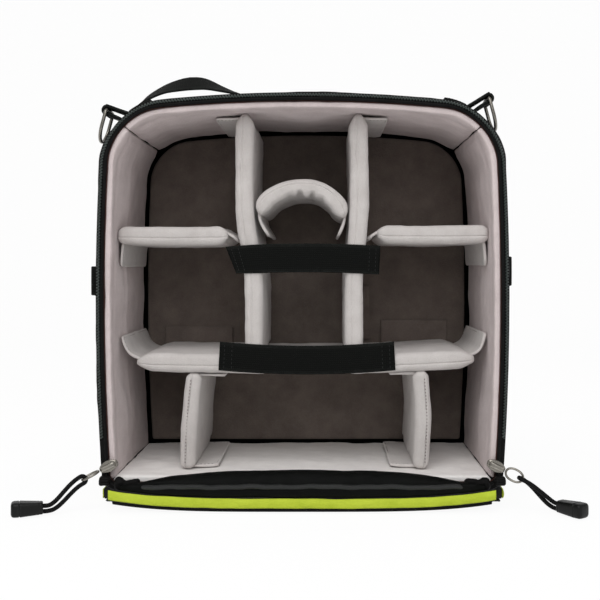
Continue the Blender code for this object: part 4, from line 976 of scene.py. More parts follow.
def padMesh(line, thick, seed, head=(0.0, 1.0), foot=(0.0, 1.0), seam=-0.12, puckers=(), puff=0.05, clear=0.0):
    # Pad: a rounded slab bent along its line; it thins by an eased share towards its head and foot,
    # swells in its middle, and tucks in along a seam on its front face; clear lifts its foot's rear corner
    length = lineLength(line)
    half, edge = thick / 2, padShape["edge"]
    front, back = bodyShape["padFront"], bodyShape["padBack"]
    spot = seam * thick
    extra = spot + np.array((-0.0012, -0.0007, -0.0003, 0, 0.0003, 0.0007, 0.0012))
    steps = (max(12, int(length / 0.0027)), 46, 4)
    points, quads = roundBox((0, front, -half), (length, back, half), edge, steps, extra)
    u, v, w = points.T
    slim = np.ones(len(points))
    for (reach, share), away in ((head, u), (foot, length - u)):
        if reach:
            slim *= share + (1 - share) * ease(away / reach) ** 0.7
    deep = (v - front) / (back - front)
    crown = np.clip(np.sin(np.pi * np.clip(deep, 0, 1)), 0, 1) ** 0.5
    fuller = 1 + puff * np.sin(np.pi * np.clip(u / length, 0, 1)) * crown
    waist = 1 - 0.045 * bump(v, front + 0.0105, 0.0022)
    faceward = ease(1 - (v - front) / edge)
    depth = padShape["seamDepth"] * bump(w, spot, 0.0006) * faceward
    soft = 0.0005 * np.cos(np.pi * w / thick) * faceward
    moved = v + depth - soft
    low = w
    for at, side, amount, width in puckers:
        reach = ease(1 - (v - front) / 0.045)
        low = low - side * amount * bump(u, at * length, width) * ease(side * w / half) * reach
    lifted = u - clear * ease((v - back + 0.022) / 0.010) * ease(1 - (length - u) / 0.030)
    points = np.column_stack((lifted, moved, low * slim * fuller * waist))
    edge = bump(v, front, 0.003) * np.clip(np.abs(w) / half, 0, 1) ** 4
    return bendOnto(line, points, quads, padShape["wrinkles"], seed, edge=edge)


def flapMesh(line, seed, back=tabBack):
    # Tab: a thin slab bent along its line, with a sewn groove inside its front and rear edges
    half = padShape["flap"] / 2
    length = lineLength(line)
    steps = (max(8, int(length / 0.0022)), 50, 1)
    points, quads = roundBox((0, tabFront, -half), (length, back, half), half * 0.8, steps)
    u, v, w = points.T
    sides = np.minimum(v - tabFront, back - v)
    edge = np.minimum(sides, length - u)
    groove = 1 - 0.30 * bump(edge, 0.0032, 0.0008)
    corner = np.clip(1 - (length - u) / 0.006, 0, 1) ** 2
    pull = 0.0035 * corner * np.sign((tabFront + back) / 2 - v) * np.clip(1 - sides / 0.010, 0, 1)
    return bendOnto(line, np.column_stack((u, v + pull, w * groove)), quads, [(0.030, 0.0003), (0.012, 0.0001)], seed,
                    edge=bump(edge, 0.0, 0.0015))


def tabStitches(line, up=1.0, back=tabBack, start=0.35):
    # Rows of stitches that follow a tab's edges, 3 mm inside them, on the side that shows
    curve = smoothLine(line, 60)[int(60 * start):-2]
    slope = unit(np.gradient(curve, axis=0))
    normal = withDepth(np.column_stack((-slope[:, 1], slope[:, 0])), 0.0) * up
    lift = normal * padShape["flap"] * 0.36
    ends = tabFront + 0.003, back - 0.003
    parts = [stitches(withDepth(curve, y) + lift, normal) for y in ends]
    last = withDepth(np.tile(curve[-3], (40, 1)), np.linspace(*ends, 40)) + lift[-3]
    return [*parts, stitches(last, normal[-3])]


def rearTabMesh(low, high, seed):
    # Rear tab: a thin rounded slab against the back lining
    points, quads = roundBox(low, high, 0.0011, (24, 2, 12))
    return roughen(shape(points, [quads]), [(0.02, 0.00015)], seed)


def topTab(line, sign):
    x, z = line[0]
    reach = x + sign * 0.0259
    start = z - 0.003
    end = surfaceZ(reach, bodyShape["liningInner"]) - 0.003
    return [(x, start), ((x + reach) / 2, start - 0.00075), (reach, end)]


uprights = {}
for side, sign, shares, seed in (("left", -1, leftShares, 61), ("right", 1, rightShares, 63)):
    line = uprightLine(shares)
    uprights[side] = line, topTab(line, sign)
    addPiece(f"{side}UprightPad", [padMesh(line, padShape["thick"], seed, head=(0.011, 0.42)),
                                   flapMesh(uprights[side][1], seed + 1)],
             "padFleece", "divider_cradle", [f"{side}_upright_divider"])
(leftLine, leftTab), (rightLine, rightTab) = uprights["left"], uprights["right"]
shelfTabs = []
for (x, z), sign in ((shelfLine[0], -1), (shelfLine[-1], 1)):
    wall = wallX(z + 0.0216) - 0.0024
    shelfTabs.append([(x - sign * 0.006, z + 0.001), ((x + sign * wall) / 2, z + 0.0076), (sign * wall, z + 0.0216)])
rearTabShape = {"front": 0.0709, "back": 0.0737, "heights": (0.0235, 0.0285)}
rearTabs = []
for sign, (near, _), tall in zip((-1, 1), (leftLine[-1], rightLine[-1]), rearTabShape["heights"]):
    ends = sorted((near + sign * 0.0299, sign * 0.1387))
    foot = shelfAt(sum(ends) / 2)
    rearTabs.append((ends[0], ends[1], foot, foot + tall))
x, z = rightLine[-1]
rearTabs.append((x, x + 0.0189, z + 0.003, z + 0.056))
addPiece("longShelfPad", [padMesh(shelfLine, padShape["shelfThick"], 71, head=(0.016, 0.40), foot=(0.016, 0.40)),
                          *[flapMesh(tab, 72 + k) for k, tab in enumerate(shelfTabs)]],
         "padFleece", "divider_cradle", ["long_shelf_divider"])
# The rear tabs' dark fleece is painted shade over the pads' light cloth
addPiece("cradleRearTabs", [rearTabMesh((left, rearTabShape["front"], low),
                                        (right, rearTabShape["back"], high), 75 + k)
                            for k, (left, right, low, high) in enumerate(rearTabs)], "shadedTabFleece", "divider_cradle")


def uprightAt(line, height):
    rows = smoothLine(line, 65)[::-1]
    return np.interp(height, rows[:, 1], rows[:, 0])


def sideShelf(sign, line, heightShare):
    # A short shelf: its pad, the slanted flap to the upright and the tab down the wall
    thick = padShape["thick"]
    height = bodyShape["floor"] + bodyShape["innerHeight"] * heightShare
    low = height - thick / 2 + 0.003
    face = uprightAt(line, low) + sign * (thick / 2 + 0.0018)
    near = face + sign * 0.008
    far = sign * (wallX(height) - 0.0003)
    high = height + thick * 0.22
    pad = [(near, height), ((near + far) / 2, height - 0.0006), (far, height)]
    nearFlap = [(near + sign * 0.004, high), ((near + face) / 2, (high + low) / 2), (face, low)]
    x = far - sign * 0.0033
    foot = height - thick / 2 - 0.0192
    farFlap = [(x - sign * 0.003, height), (x, height - thick / 2), (sign * (wallX(foot) - 0.0022), foot)]
    return pad, nearFlap, farFlap


for side, sign, line, share, seed in (("left", -1, leftLine, 0.6525, 81), ("right", 1, rightLine, 0.657, 91)):
    pad, nearFlap, farFlap = sideShelf(sign, line, share)
    seamSide = 0.10 if sign < 0 else -0.10
    addPiece(f"{side}ShelfPad", [padMesh(pad, padShape["thick"], seed, head=(0.009, 0.5), foot=(0.008, 0.78),
                                         seam=seamSide),
                                 flapMesh(nearFlap, seed + 1), flapMesh(farFlap, seed + 2)],
             "padFleece", f"{side}_shelf", [f"{side}_shelf_divider"])

for side, sign, seed in (("left", -1, 101), ("right", 1, 111)):
    rows = [inside(*pair) for pair in lowerShares[side]]
    head = shelfAt(rows[0][0]) - padSeat
    foot = bodyShape["floor"] + 0.0003
    line = [(rows[0][0], head), rows[1], (rows[-1][0], foot)]
    tabs = []
    for x, z, turn in ((rows[0][0], head, -1), (rows[-1][0], foot, 1)):
        level = z + turn * 0.0021
        end = x - sign * (0.007 + 0.0192)
        tabs.append([(x, level), ((x + end) / 2, level), (end, level + turn * 0.0006)])
    seam = -0.14 if sign < 0 else 0.22
    group = f"lower_{side}"
    pad = padMesh(line, padShape["smallThick"], seed, (0.006, 0.75), (0.006, 0.70), seam, clear=0.0052)
    addPiece(f"lower{side.capitalize()}Pad", [pad, flapMesh(tabs[0], seed + 1),
                                              flapMesh(tabs[1], seed + 2, back=0.0600)],
             "padFleece", group, [f"{group}_divider"])
    rows = withDepth(smoothLine(line, 50)[3:-3], bodyShape["padFront"] + 0.0001)
    rows[:, 0] += seam * padShape["smallThick"]
    thread = {"length": 0.0012, "gap": 0.0016, "width": 0.0007, "height": 0.0004}
    addPiece(f"lower{side.capitalize()}Stitches", [stitches(rows, (0, -1, 0), thread)], "darkThread", group)
    addPiece(f"lower{side.capitalize()}TabStitches", tabStitches(tabs[1], up=-sign, back=0.0600), "darkThread", group)

archLine = [inside(*pair) for pair in archShares]
archTabs = [[inside(*pair) for pair in tab] for tab in (((-0.240, 0.722), (-0.229, 0.690), (-0.185, 0.650)),
                                                        ((0.226, 0.712), (0.215, 0.685), (0.187, 0.650)))]
archPuckers = ((0.475, -1, 0.0040, 0.0021), (0.60, -1, 0.0034, 0.0019), (0.535, -1, -0.0010, 0.003),
               (0.36, -1, 0.0014, 0.004), (0.72, -1, 0.0016, 0.003))
addPiece("archPad", [padMesh(archLine, padShape["smallThick"], 121, head=(0.010, 0.45), foot=(0.010, 0.45), seam=0.20,
                             puckers=archPuckers), *[flapMesh(tab, 122 + k) for k, tab in enumerate(archTabs)]],
         "padFleece", "arch", ["arch_divider"])
addPiece("cradleTabStitches", [*tabStitches(leftTab), *tabStitches(rightTab, -1.0),
                               *tabStitches(shelfTabs[0], -1.0, start=0.5), *tabStitches(shelfTabs[1], start=0.5)],
         "seamThread", "divider_cradle")

print("stage: webbing")

strapShape = {"width": 0.0247, "thick": 0.0018, "frontY": -0.0592}


def crossStrap(left, right, height, sag, slant):
    # Retaining strap: straight across, its height sags by a parabola, its ends cut on a slant
    share = np.linspace(-1, 1, 71)
    x = left + (right - left) * (share + 1) / 2
    y = strapShape["frontY"] - 0.002 * np.clip(0.36 - share ** 2, 0, None)
    y = y - 0.00035 * smoothNoise(np.column_stack((x, x * 0, x * 0)), 0.045, 131, 1)
    z = height - sag * (1 - share ** 2)
    lean = np.where(share < 0, slant[0], slant[1]) * np.clip(2 * np.abs(share) - 1, 0, 1)
    return np.column_stack((x, y, z)), np.column_stack((lean, np.zeros(71), np.ones(71)))


crossStraps = {
    "upper": {"ends": (-0.385, 0.408), "height": 0.584, "sag": -0.0019, "slant": (-0.40, 0.05)},
    "lower": {"ends": (-0.447, 0.488), "height": 0.318, "sag": 0.0035, "slant": (0.05, -0.05)},
}
for name, look in crossStraps.items():
    (left, _), (right, height) = inside(look["ends"][0], 0), inside(look["ends"][1], look["height"])
    line, across = crossStrap(left, right, height, look["sag"], look["slant"])
    addPiece(f"{name}StrapWebbing", [ribbon(line, across, strapShape["width"], strapShape["thick"], True)],
             "strapWebbing", f"{name}_strap", [f"{name}_strap"])
    rows = []
    for at in (2, 5, -6, -3):
        ends = [line[at] + unit(across[at]) * k * 0.0105 + np.array((0, -0.00092, 0)) for k in (-1, 1)]
        rows.append(stitches(np.linspace(*ends, 12), (0, -1, 0), {"width": 0.0005}))
    addPiece(f"{name}StrapStitches", rows, "blackThread", f"{name}_strap")

handleShape = {"line": ((-0.88, 0.0), (-0.853, 0.36), (-0.802, 0.58), (-0.712, 0.76), (-0.6255, 0.96), (-0.571, 1.0),
                        (-0.512, 0.89), (-0.4255, 0.53), (-0.336, 0.24), (-0.26, 0.05), (-0.22, 0.0)),
               "half": 0.1725, "rise": 0.0178, "width": 0.026, "lean": 34, "y": -0.03784}


def handleMesh(look):
    # Handle: a webbing arch that follows the upper face at its feet and leans back at its crest
    rows = []
    for shareX, lift in look["line"]:
        x = look["half"] * shareX
        rows.append((x, float(surfaceZ(x)) + 0.0012 + look["rise"] * lift, lift))
    line = smoothLine(rows, 75)
    floor = surfaceZ(line[:, 0]) + 0.0009
    height = np.maximum(line[:, 1], floor)
    lean = math.radians(look["lean"]) * np.clip(line[:, 2], 0, 1)
    middle = np.column_stack((line[:, 0], np.full(len(line), look["y"]), height))
    middle[:, 2] += look["width"] / 2 * np.sin(lean) * (1 - lean / math.radians(look["lean"]))
    return middle, np.column_stack((np.zeros(len(line)), np.cos(lean), np.sin(lean)))


line, across = handleMesh(handleShape)
addPiece("handleWebbing", [ribbon(line, across, handleShape["width"], 0.0021)], "strapWebbing", "body",
         ["carry_handle"])


def boxStitches(line, across, start, stop, half, lift):
    # A sewn box on webbing: two rows along it, one across each end and a cross between the corners
    parts = []
    rows = line[start:stop]
    way = unit(np.gradient(line, axis=0))[start:stop]
    over = unit(across[start:stop])
    up = unit(np.cross(way, over))
    up = up * np.sign(np.einsum("ij,ij->i", up, rows - np.array((0, 0, 0.17))))[:, None]
    top = rows + up * lift
    for side in (-1, 1):
        parts.append(stitches(top + over * half * side, up))
        slant = np.linspace(-side, side, len(rows))[:, None]
        parts.append(stitches(top + over * half * slant, up))
    for at in (0, -1):
        ends = np.linspace(top[at] - over[at] * half, top[at] + over[at] * half, 14)
        parts.append(stitches(ends, up[at]))
    return parts


addPiece("handleStitches", [*boxStitches(line, across, 1, 11, 0.0098, 0.0011),
                            *boxStitches(line, across, -12, -2, 0.0098, 0.0011)],
         "blackThread", "body")

loopShape = {"height": {"left": 0.1888, "right": 0.1971}, "stand": {"left": 0.0066, "right": 0.0041}}
tabShape = {"ring": {"left": (-0.1643925, -0.06536, 0.332556), "right": (0.1561125, -0.06536, 0.342516)},
            "bar": 0.0275, "drop": 0.0265, "wire": 0.0030, "lean": 15, "width": 0.0229, "reach": 0.0034,
            "thick": 0.0030, "back": 0.0125}


def sideLoop(side, sign):
    # Side loop: webbing sewn flat at both ends and standing off between them
    height = loopShape["height"][side]
    wall = wallX(height, 0) + 0.0010
    stand = wall + loopShape["stand"][side]
    start = -0.0782
    rows = ((wall, 0), (wall, 0.009), (stand - 0.0008, 0.0135), (stand, 0.024), (stand - 0.0008, 0.0345),
            (wall, 0.039), (wall, 0.048))
    line = smoothLine([(sign * x, start + y, height) for x, y in rows], 61)
    line[:, 0] = sign * np.maximum(np.abs(line[:, 0]), wall)
    return line, np.tile((0.0, 0.0, 1.0), (len(line), 1))


def dRing(side, sign, look):
    # D-ring: a straight bar, two rounded corners and a half circle, leaning outwards
    half, bend, corner = look["bar"] / 2, look["bar"] / 2 * 0.9, 0.0032
    arc = np.radians(np.linspace(0, 180, 25))
    turn = np.radians(np.linspace(-90, 0, 6))
    right = np.column_stack((half - corner + corner * np.cos(turn), corner + corner * np.sin(turn)))
    over = np.column_stack((half * np.cos(arc), look["drop"] - bend + bend * np.sin(arc)))
    left = np.column_stack((-right[::-1, 0], right[::-1, 1]))
    flat = np.vstack((np.column_stack((np.linspace(-half * 0.7, half * 0.7, 8), np.zeros(8))), right, over, left))
    x, y, z = look["ring"][side]
    lean = math.radians(look["lean"])
    return np.column_stack((x + sign * flat[:, 1] * math.sin(lean), y + flat[:, 0], z - flat[:, 1] * math.cos(lean)))


def ringTab(side, sign, look):
    # Ring tab: doubled webbing on the upper face that wraps the bar and turns back down to the corner
    x, y, z = look["ring"][side]
    feet = np.linspace(x - sign * 0.03705, x - sign * 0.0178, 12)
    rows = [(px, float(surfaceZ(px)) + look["thick"] / 2) for px in feet]
    angles = np.radians(np.linspace(100, -105, 14))
    rows += [(x + sign * look["reach"] * math.cos(a), z + look["reach"] * math.sin(a)) for a in angles]
    foot = x - sign * look["back"]
    low = float(surfaceZ(foot)) + look["thick"] / 4
    rows += [(x + (foot - x) * t, rows[-1][1] + (low - rows[-1][1]) * t ** 1.3) for t in (0.45, 0.72, 1.0)]
    flat = smoothLine(rows, 90)
    return withDepth(flat, y), np.tile((0.0, 1.0, 0.0), (90, 1))


for side, sign in (("left", -1), ("right", 1)):
    line, across = sideLoop(side, sign)
    addPiece(f"{side}LoopWebbing", [ribbon(line, across, 0.0247, 0.0018)], "strapWebbing", "body",
             [f"{side}_side_loop"])
    rows = [np.linspace(line[k] - across[0] * 0.011, line[k] + across[0] * 0.011, 14)
            + np.array((sign * 0.0009, 0, 0))
            for k in (3, 7, -8, -4)]
    addPiece(f"{side}LoopStitches", [stitches(row, (sign, 0, 0)) for row in rows], "blackThread", "body")
    ring = dRing(side, sign, tabShape)
    lean = math.radians(tabShape["lean"])
    square = (-math.cos(lean), 0.0, -sign * math.sin(lean))
    addPiece(f"{side}DRingWire", [tube(ring, tabShape["wire"] / 2, 14, square, closed=True)],
             "nickelPlate", f"{side}_ring", [f"{side}_d_ring"])
    line, across = ringTab(side, sign, tabShape)
    addPiece(f"{side}RingTabWebbing", [ribbon(line, across, tabShape["width"], tabShape["thick"])],
             "strapWebbing", "body", [f"{side}_ring_tab"])
    addPiece(f"{side}RingTabStitches", boxStitches(line, across, 3, 20, 0.0085, tabShape["thick"] / 2),
             "blackThread", "body")


def zipEndMesh(sign):
    # Zip end: the tape's folded end, a soft rounded block with two creases across it
    low = (0.1586, -0.0943, 0.0203)
    high = (0.1676, -0.0863, 0.0280)
    points, quads = roundBox(low, high, 0.0022, (8, 8, 10))
    crease = (0.0006 * (bump(points[:, 2], 0.0232, 0.0006) + bump(points[:, 2], 0.0257, 0.0005))
              * (points[:, 1] < -0.0925))
    points[:, 1] += crease
    points[:, 0] *= sign
    return roughen(shape(points, [quads]), [(0.009, 0.0003)], 141)


for side, sign in (("left", -1), ("right", 1)):
    addPiece(f"{side}ZipEndTape", [zipEndMesh(sign)], "bindingTape", "body", [f"{side}_zip_end"])

print("stage: lid")

lidShape = {"top": 0.0140, "low": 0.0032, "notchHalf": 0.150, "notchDepth": 0.034, "tongueHalf": 0.158,
            "tongueDepth": 0.004, "lift": 0.0072, "liftDepth": 0.009, "lining": 0.0105}


def laidBack(flat):
    # The upright outline laid down behind the hinge
    return np.column_stack((flat[:, 0], bodyShape["hingeY"] + flat[:, 1] - bodyShape["hingeZ"]))


def lidSides(inset):
    rows = np.vstack((sideLine("right", inset, 8, 44), sideLine("top", inset, 8, 44)[1:],
                      sideLine("left", inset, 8, 44)[1:]))
    start = bodyShape["hingeZ"] + lidShape["notchDepth"] + inset
    wide = wallX(start, inset)
    return resample(np.vstack(([wide, start], rows[rows[:, 1] > start + 0.0006], [-wide, start])), 260)


def lidLoop(inset):
    # Lid outline: the front edge with a notch at each end, then the sides and the far edge, evenly stepped
    low = bodyShape["hingeZ"] + inset
    half = lidShape["notchHalf"] - inset
    top = bodyShape["hingeZ"] + lidShape["notchDepth"] + inset
    tongue = lidShape["tongueHalf"] - inset
    ledge = bodyShape["hingeZ"] + lidShape["tongueDepth"]
    right = resample(np.array([(tongue, low), (tongue, ledge), (half, ledge), (half, top),
                               (wallX(top, inset), top)]), 26)
    front = resample(np.array([(-tongue, low), (tongue, low)]), 81)
    left = np.column_stack((-right[::-1, 0], right[::-1, 1]))
    flat = np.vstack((front, right[1:], lidSides(inset)[1:], left[1:-1]))
    return laidBack(flat)


def lidLift(points):
    # Lift: the front corners turn up by the fourth power of the width, fading behind the axis;
    # further back only the lower edge rises
    behind = points[:, 1] - bodyShape["hingeY"]
    near = np.clip(1 - behind / lidShape["liftDepth"], 0, 1) ** 2
    far = np.clip(1 - behind / 0.05, 0, 1) ** 2 * np.clip(1 - points[:, 2] / lidShape["top"], 0, 1)
    lift = lidShape["lift"] * np.clip(np.abs(points[:, 0]) / lidShape["tongueHalf"], 0, 1) ** 4
    points[:, 2] += lift * (near + (1 - near) * far)
    return points


def lidStack(stations):
    # Rings of the lid's outline: each station is inset, height and how far it shrinks to the middle,
    # where the turn round the middle never steps back
    middle = np.array((0.0, 0.066))
    rings = []
    for inset, z, shrink in stations:
        flat = lidLoop(inset)
        if shrink < 1:
            away = flat - middle
            turn = np.maximum.accumulate(np.unwrap(np.arctan2(away[:, 1], away[:, 0])))
            turn = np.minimum(turn, turn[0] + 2 * np.pi - 0.0001)
            flat = middle + np.column_stack((np.cos(turn), np.sin(turn))) * np.hypot(*away.T)[:, None] * shrink
        rings.append(withHeight(flat, z))
    return np.array(rings)


def lidShellMesh(look):
    # Lid shell: a tray that opens downwards, its panel swollen a little behind the body
    top, low = look["top"], look["low"]
    shrink = np.array((0.04, 0.2, 0.38, 0.54, 0.68, 0.80, 0.88, 0.93, 0.96))
    stations = [(0.002, top, k) for k in shrink]
    for angle in np.radians((90, 65, 40, 15)):
        stations.append((0.002 * (1 - math.cos(angle)), top - 0.002 + 0.002 * math.sin(angle), 1.0))
    stations += [(0.0, z, 1.0) for z in (0.0105, 0.0085, 0.0065, 0.0048)]
    stations += [(0.0003, low + 0.0003, 1.0), (0.001, low, 1.0), (0.0024, low, 1.0), (0.0029, low + 0.0005, 1.0)]
    stations += [(0.0029, z, 1.0) for z in (0.006, 0.0085, 0.0106)]
    stations += [(0.0029, 0.0108, k) for k in (0.95, 0.6, 0.2, 0.04)]
    made = ringStack(lidStack(stations))
    points = made["points"]
    behind = (ease((points[:, 1] - 0.092) / 0.02) * ease((0.222 - points[:, 1]) / 0.03)
              * ease((0.155 - np.abs(points[:, 0])) / 0.03))
    points[:, 2] += np.where(points[:, 2] > 0.0135, 0.0022 * behind, 0)
    points[:, 2] += np.where(points[:, 2] > 0.0135, 0.0004 * smoothNoise(points, 0.06, 151) * behind, 0)
    lidLift(points)
    return made


def lidLiningMesh(look):
    # Lid lining: a soft slab inside the shell, whose rounded face lies on the table
    stations = [(0.0040, 0.0, k) for k in (0.04, 0.3, 0.55, 0.75, 0.9)]
    stations += [(0.0040, 0.0005, 0.935), (0.0040, 0.0010, 0.965)]
    for angle in np.radians((80, 55, 30, 5)):
        stations.append((0.0033 + 0.0022 * (1 - math.cos(angle)), 0.0012 + 0.0020 * (1 - math.sin(angle)), 1.0))
    stations += [(0.0033, z, 1.0) for z in (0.0035, 0.006, 0.009)]
    stations += [(0.0040, look["lining"], k) for k in (0.995, 0.6, 0.04)]
    made = ringStack(lidStack(stations))
    under = made["points"][:, 2] < 0.001
    made["points"][:, 2] += np.where(under, np.clip(0.0006 * smoothNoise(made["points"], 0.07, 152), 0, None), 0)
    lidLift(made["points"])
    return made


def lidBinding(height, radius, inset, tall):
    # Lid binding: an oval tube round the whole edge of the lid, just above the table
    flat = lidLoop(inset)
    line = withHeight(flat, height)
    way, side, up = framesAlong(line, (0, 0, 1), True)
    section = circle(radius, 10) * (tall, 1)
    made = sweep(line, side, up, section, True)
    lidLift(made["points"])
    return made


addPiece("lidShellSkin", [lidShellMesh(lidShape)], "casingNylon", "lid", ["lid_shell"])
addPiece("lidBindingTape", [lidBinding(0.0022, 0.0012, 0.0031, 1.6)], "bindingTape", "lid")
addPiece("lidLiningPad", [lidLiningMesh(lidShape)], "liningFleece", "lid", ["lid_lining"])

rows = zipRows(zipShape["inset"], bodyShape["hingeZ"] + lidShape["notchDepth"])
path = withHeight(laidBack(rows), zipShape["lidZ"])
turned = np.gradient(path, axis=0)
outwards = np.column_stack((turned[:, 1], -turned[:, 0], np.zeros(len(rows))))
lidCoil = coilMesh(path, outwards)
lidLift(lidCoil["points"])
addPiece("lidCoilTeeth", [lidCoil], "coilNylon", "lid", ["zip_coil_lid"])

limeShape = {"low": 0.0040, "width": 0.0078, "thick": 0.0009, "wave": 0.0004}


def limeBand(flat, away, seed):
    # Lime band: a thin strip on edge along a line in plan, its edges a little uneven, its face wrinkled
    line = resample(np.asarray(flat, float), 260 if len(flat) < 30 else 420)
    way = unit(np.gradient(line, axis=0))
    out = np.column_stack((way[:, 1], -way[:, 0]))
    share = np.linspace(0, 1, 9)
    base = withHeight(line, 0.0)
    top = limeShape["low"] + limeShape["width"] + limeShape["wave"] * smoothNoise(base, 0.045, seed)
    foot = limeShape["low"] + limeShape["wave"] * 0.5 * smoothNoise(base, 0.030, seed + 1)
    z = foot[:, None] + (top - foot)[:, None] * share
    spots = np.stack((np.repeat(line[:, :1], 9, 1), np.repeat(line[:, 1:], 9, 1), z), -1)
    wrinkle = (0.00045 * smoothNoise(spots.reshape(-1, 3) * (1, 1, 0.35), 0.016, seed + 2)
               + 0.0002 * smoothNoise(spots.reshape(-1, 3) * (1, 1, 0.6), 0.006, seed + 3)).reshape(z.shape)
    belly = 0.0007 * np.sin(np.pi * share)[None, :]
    outer = away + limeShape["thick"] / 2 + belly + wrinkle * np.sin(np.pi * share)[None, :]
    inner = np.full(z.shape, away - limeShape["thick"] / 2)
    faces = []
    for depth in (outer, inner):
        faces.append(np.stack((spots[..., 0] + out[:, :1] * depth, spots[..., 1] + out[:, 1:] * depth, z), -1))
    rings = np.concatenate((faces[0], faces[1][:, ::-1]), 1)
    made = ringStack(rings)
    lidLift(made["points"])
    return made


front = [(x, bodyShape["hingeY"]) for x in np.linspace(0.158, -0.158, 20)]
sides = laidBack(lidSides(0))
frontBand = limeBand(front[::-1], 0.00075, 161)
sideBand = limeBand(sides, 0.00075, 171)
addPiece("limeBandFront", [frontBand], "limeNylon", "lid", ["lime_band_front"])
addPiece("limeBandSides", [sideBand], "limeNylon", "lid", ["lime_band_sides"])


def bandStitches(flat, away, height):
    line = resample(np.asarray(flat, float), 200)
    way = unit(np.gradient(line, axis=0))
    out = np.column_stack((way[:, 1], -way[:, 0], np.zeros(len(way))))
    rows = withHeight(line, height) + out * away
    return stitches(lidLift(rows), out, {"length": 0.0018, "gap": 0.0010, "width": 0.0004, "height": 0.0003})


addPiece("limeStitches", [bandStitches(front[::-1], 0.00145, 0.0052), bandStitches(sides, 0.00145, 0.0052)],
         "limeNylon", "lid")

foldShape = {"half": 0.150, "taper": (0.187, 0.56), "count": 161,
             "section": ((-0.0996, 0.0122), (-0.1016, 0.0136), (-0.1028, 0.0165), (-0.1030, 0.0200),
                         (-0.1022, 0.0240), (-0.1004, 0.0282), (-0.0968, 0.0318), (-0.0925, 0.0333),
                         (-0.0885, 0.0326), (-0.0866, 0.0296), (-0.0866, 0.0240), (-0.0880, 0.0190), (-0.0915, 0.0160), (-0.0960, 0.0148))}


def foldShrink(share):
    square, fourth = foldShape["taper"]
    return np.clip(1 - square * share ** 2 - fourth * share ** 4, 0.42, 1)


def foldMesh(look):
    # Fold: a soft roll across the front; its height and depth shrink by the square and fourth power of the width
    share = np.linspace(-1, 1, look["count"])
    section = smoothLine(look["section"] + look["section"][:1], 49)[:-1]
    base = np.array((-0.0996, 0.0135))
    shrink = foldShrink(share)[:, None]
    y = base[0] + (section[:, 0] - base[0])[None] * (0.35 + 0.65 * shrink)
    z = base[1] + (section[:, 1] - base[1])[None] * shrink
    x = np.repeat((share * look["half"])[:, None], len(section), 1)
    sink = 0.003 * ease((np.abs(share) - 0.93) / 0.07)[:, None]
    rings = np.stack((x, y + sink, z), -1)
    flat = rings.reshape(-1, 3) * (1, 1.0, 0.6)
    ripple = 0.0007 * smoothNoise(flat, 0.050, 181) + 0.0003 * smoothNoise(flat, 0.017, 182)
    crease = -0.0007 * bump(z, 0.0205 + 0.0008 * np.sin(share * 9)[:, None], 0.0009) * (y < -0.1)
    rings[..., 1] -= ripple.reshape(y.shape) * 0.7 + crease
    rings[..., 2] += ripple.reshape(y.shape) * 0.7 * (z > 0.02)
    made = ringStack(rings)
    lidLift(made["points"])
    return made


def foldWelt(look):
    # Sheen fold: a soft rounded ridge along the roll's front, at the height where the roll is deepest
    share = np.linspace(-0.985, 0.985, look["count"])
    shrink = foldShrink(share)
    y = -0.0996 - 0.0036 * (0.35 + 0.65 * shrink) + 0.0014 + 0.004 * ease((np.abs(share) - 0.80) / 0.18)
    z = 0.0135 + 0.0084 * shrink + 0.0003 * np.sin(share * 17) + 0.0002 * np.sin(share * 41)
    line = lidLift(np.column_stack((share * look["half"], y, z)))
    return tube(line, 0.0023, 20, (0, 0, 1))


def foldTuckMesh(sign, seed):
    # Tuck: the roll's gathered end, a soft rounded block with two creases
    points, quads = roundBox((0.1335, -0.0955, 0.0165), (0.1545, -0.0885, 0.0262), 0.003, (22, 8, 12))
    points[:, 2] += ((0.0010 * bump(points[:, 0], 0.151, 0.003) - 0.0016 * bump(points[:, 0], 0.1455, 0.002))
                     * (points[:, 2] > 0.021))
    points[:, 0] *= sign
    return roughen(shape(points, [quads]), [(0.012, 0.0006), (0.005, 0.0003)], seed)


addPiece("hingeFoldWelt", [foldWelt(foldShape)], "weltGloss", "lid")
addPiece("hingeFoldRoll", [foldMesh(foldShape)], "foldNylon", "lid", ["hinge_fold"])
addPiece("hingeFoldTucks", [foldTuckMesh(-1, 183), foldTuckMesh(1, 184)], "bindingTape", "lid")

print("stage: floor and light")

stageShape = {"half": 3.0, "front": -2.2, "rear": 2.4, "radius": 0.9, "top": 3.2, "drop": -0.0004}
lightShape = {"world": 0.54, "key": {"place": (-0.25, -1.25, 1.65), "size": 1.3, "power": 15},
              "fill": {"place": (0.15, -2.3, 1.1), "size": 0.8, "power": 8}}


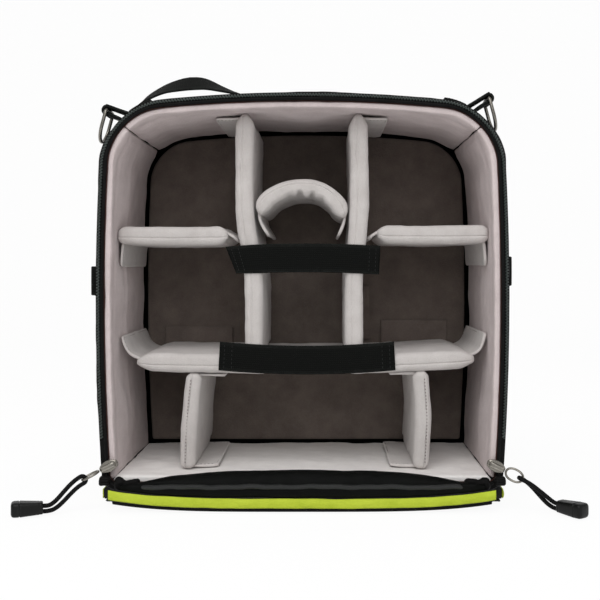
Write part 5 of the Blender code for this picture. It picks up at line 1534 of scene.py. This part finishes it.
def makeStage(look):
    # Stage: a level floor that rises in a quarter circle to an upright backdrop
    turn = np.radians(np.linspace(0, 90, 24))
    y = np.concatenate(([look["front"]], look["rear"] - look["radius"] + look["radius"] * np.sin(turn),
                        [look["rear"]]))
    z = np.concatenate(([0.0], look["radius"] * (1 - np.cos(turn)), [look["top"]])) + look["drop"]
    x = np.array((-look["half"], look["half"]))
    points = np.stack(np.broadcast_arrays(x[None], y[:, None], z[:, None]), -1).reshape(-1, 3)
    mesh = bpy.data.meshes.new("paperSweep")
    mesh.from_pydata(points.tolist(), [], gridFaces(len(y), 2)[:, ::-1].tolist())
    mesh.polygons.foreach_set("use_smooth", np.ones(len(mesh.polygons), bool))
    paper = bpy.data.materials.new("palePaper")
    paper.use_nodes = True
    tree = paper.node_tree
    shader = tree.nodes["Principled BSDF"]
    shader.inputs["Base Color"].default_value = (0.86, 0.86, 0.86, 1)
    shader.inputs["Roughness"].default_value = 0.9
    glow = put(tree, "ShaderNodeEmission", {"Color": (1, 1, 1, 1), "Strength": 1.03}).outputs[0]
    rays = put(tree, "ShaderNodeLightPath").outputs
    seen = calc(tree, "MAXIMUM", rays["Is Camera Ray"], rays["Is Glossy Ray"])
    share = calc(tree, "MULTIPLY", seen, 0.90)
    mixed = put(tree, "ShaderNodeMixShader", {0: share, 1: shader.outputs[0], 2: glow}).outputs[0]
    tree.links.new(mixed, tree.nodes["Material Output"].inputs["Surface"])
    mesh.materials.append(paper)
    made = bpy.data.objects.new("paperSweep", mesh)
    bpy.context.scene.collection.objects.link(made)


def makeLamp(name, look):
    data = bpy.data.lights.new(name, "AREA")
    data.shape = "SQUARE"
    data.size = look["size"]
    data.energy = look["power"]
    lamp = bpy.data.objects.new(name, data)
    place = np.array(look["place"])
    lamp.location = place
    away = place - np.array((0.0, 0.0, 0.15))
    flat = math.hypot(away[0], away[1])
    lamp.rotation_euler = (math.atan2(flat, away[2]), 0, math.atan2(away[1], away[0]) + math.pi / 2)
    bpy.context.scene.collection.objects.link(lamp)


makeStage(stageShape)
makeLamp("keyLamp", lightShape["key"])
makeLamp("fillLamp", lightShape["fill"])
world = bpy.data.worlds.new("paleRoom")
world.use_nodes = True
world.node_tree.nodes["Background"].inputs["Color"].default_value = (1, 1, 1, 1)
seen = put(world.node_tree, "ShaderNodeLightPath").outputs["Is Camera Ray"]
level = calc(world.node_tree, "MULTIPLY_ADD", seen, 1 - lightShape["world"], lightShape["world"])
world.node_tree.links.new(level, world.node_tree.nodes["Background"].inputs["Strength"])
bpy.context.scene.world = world
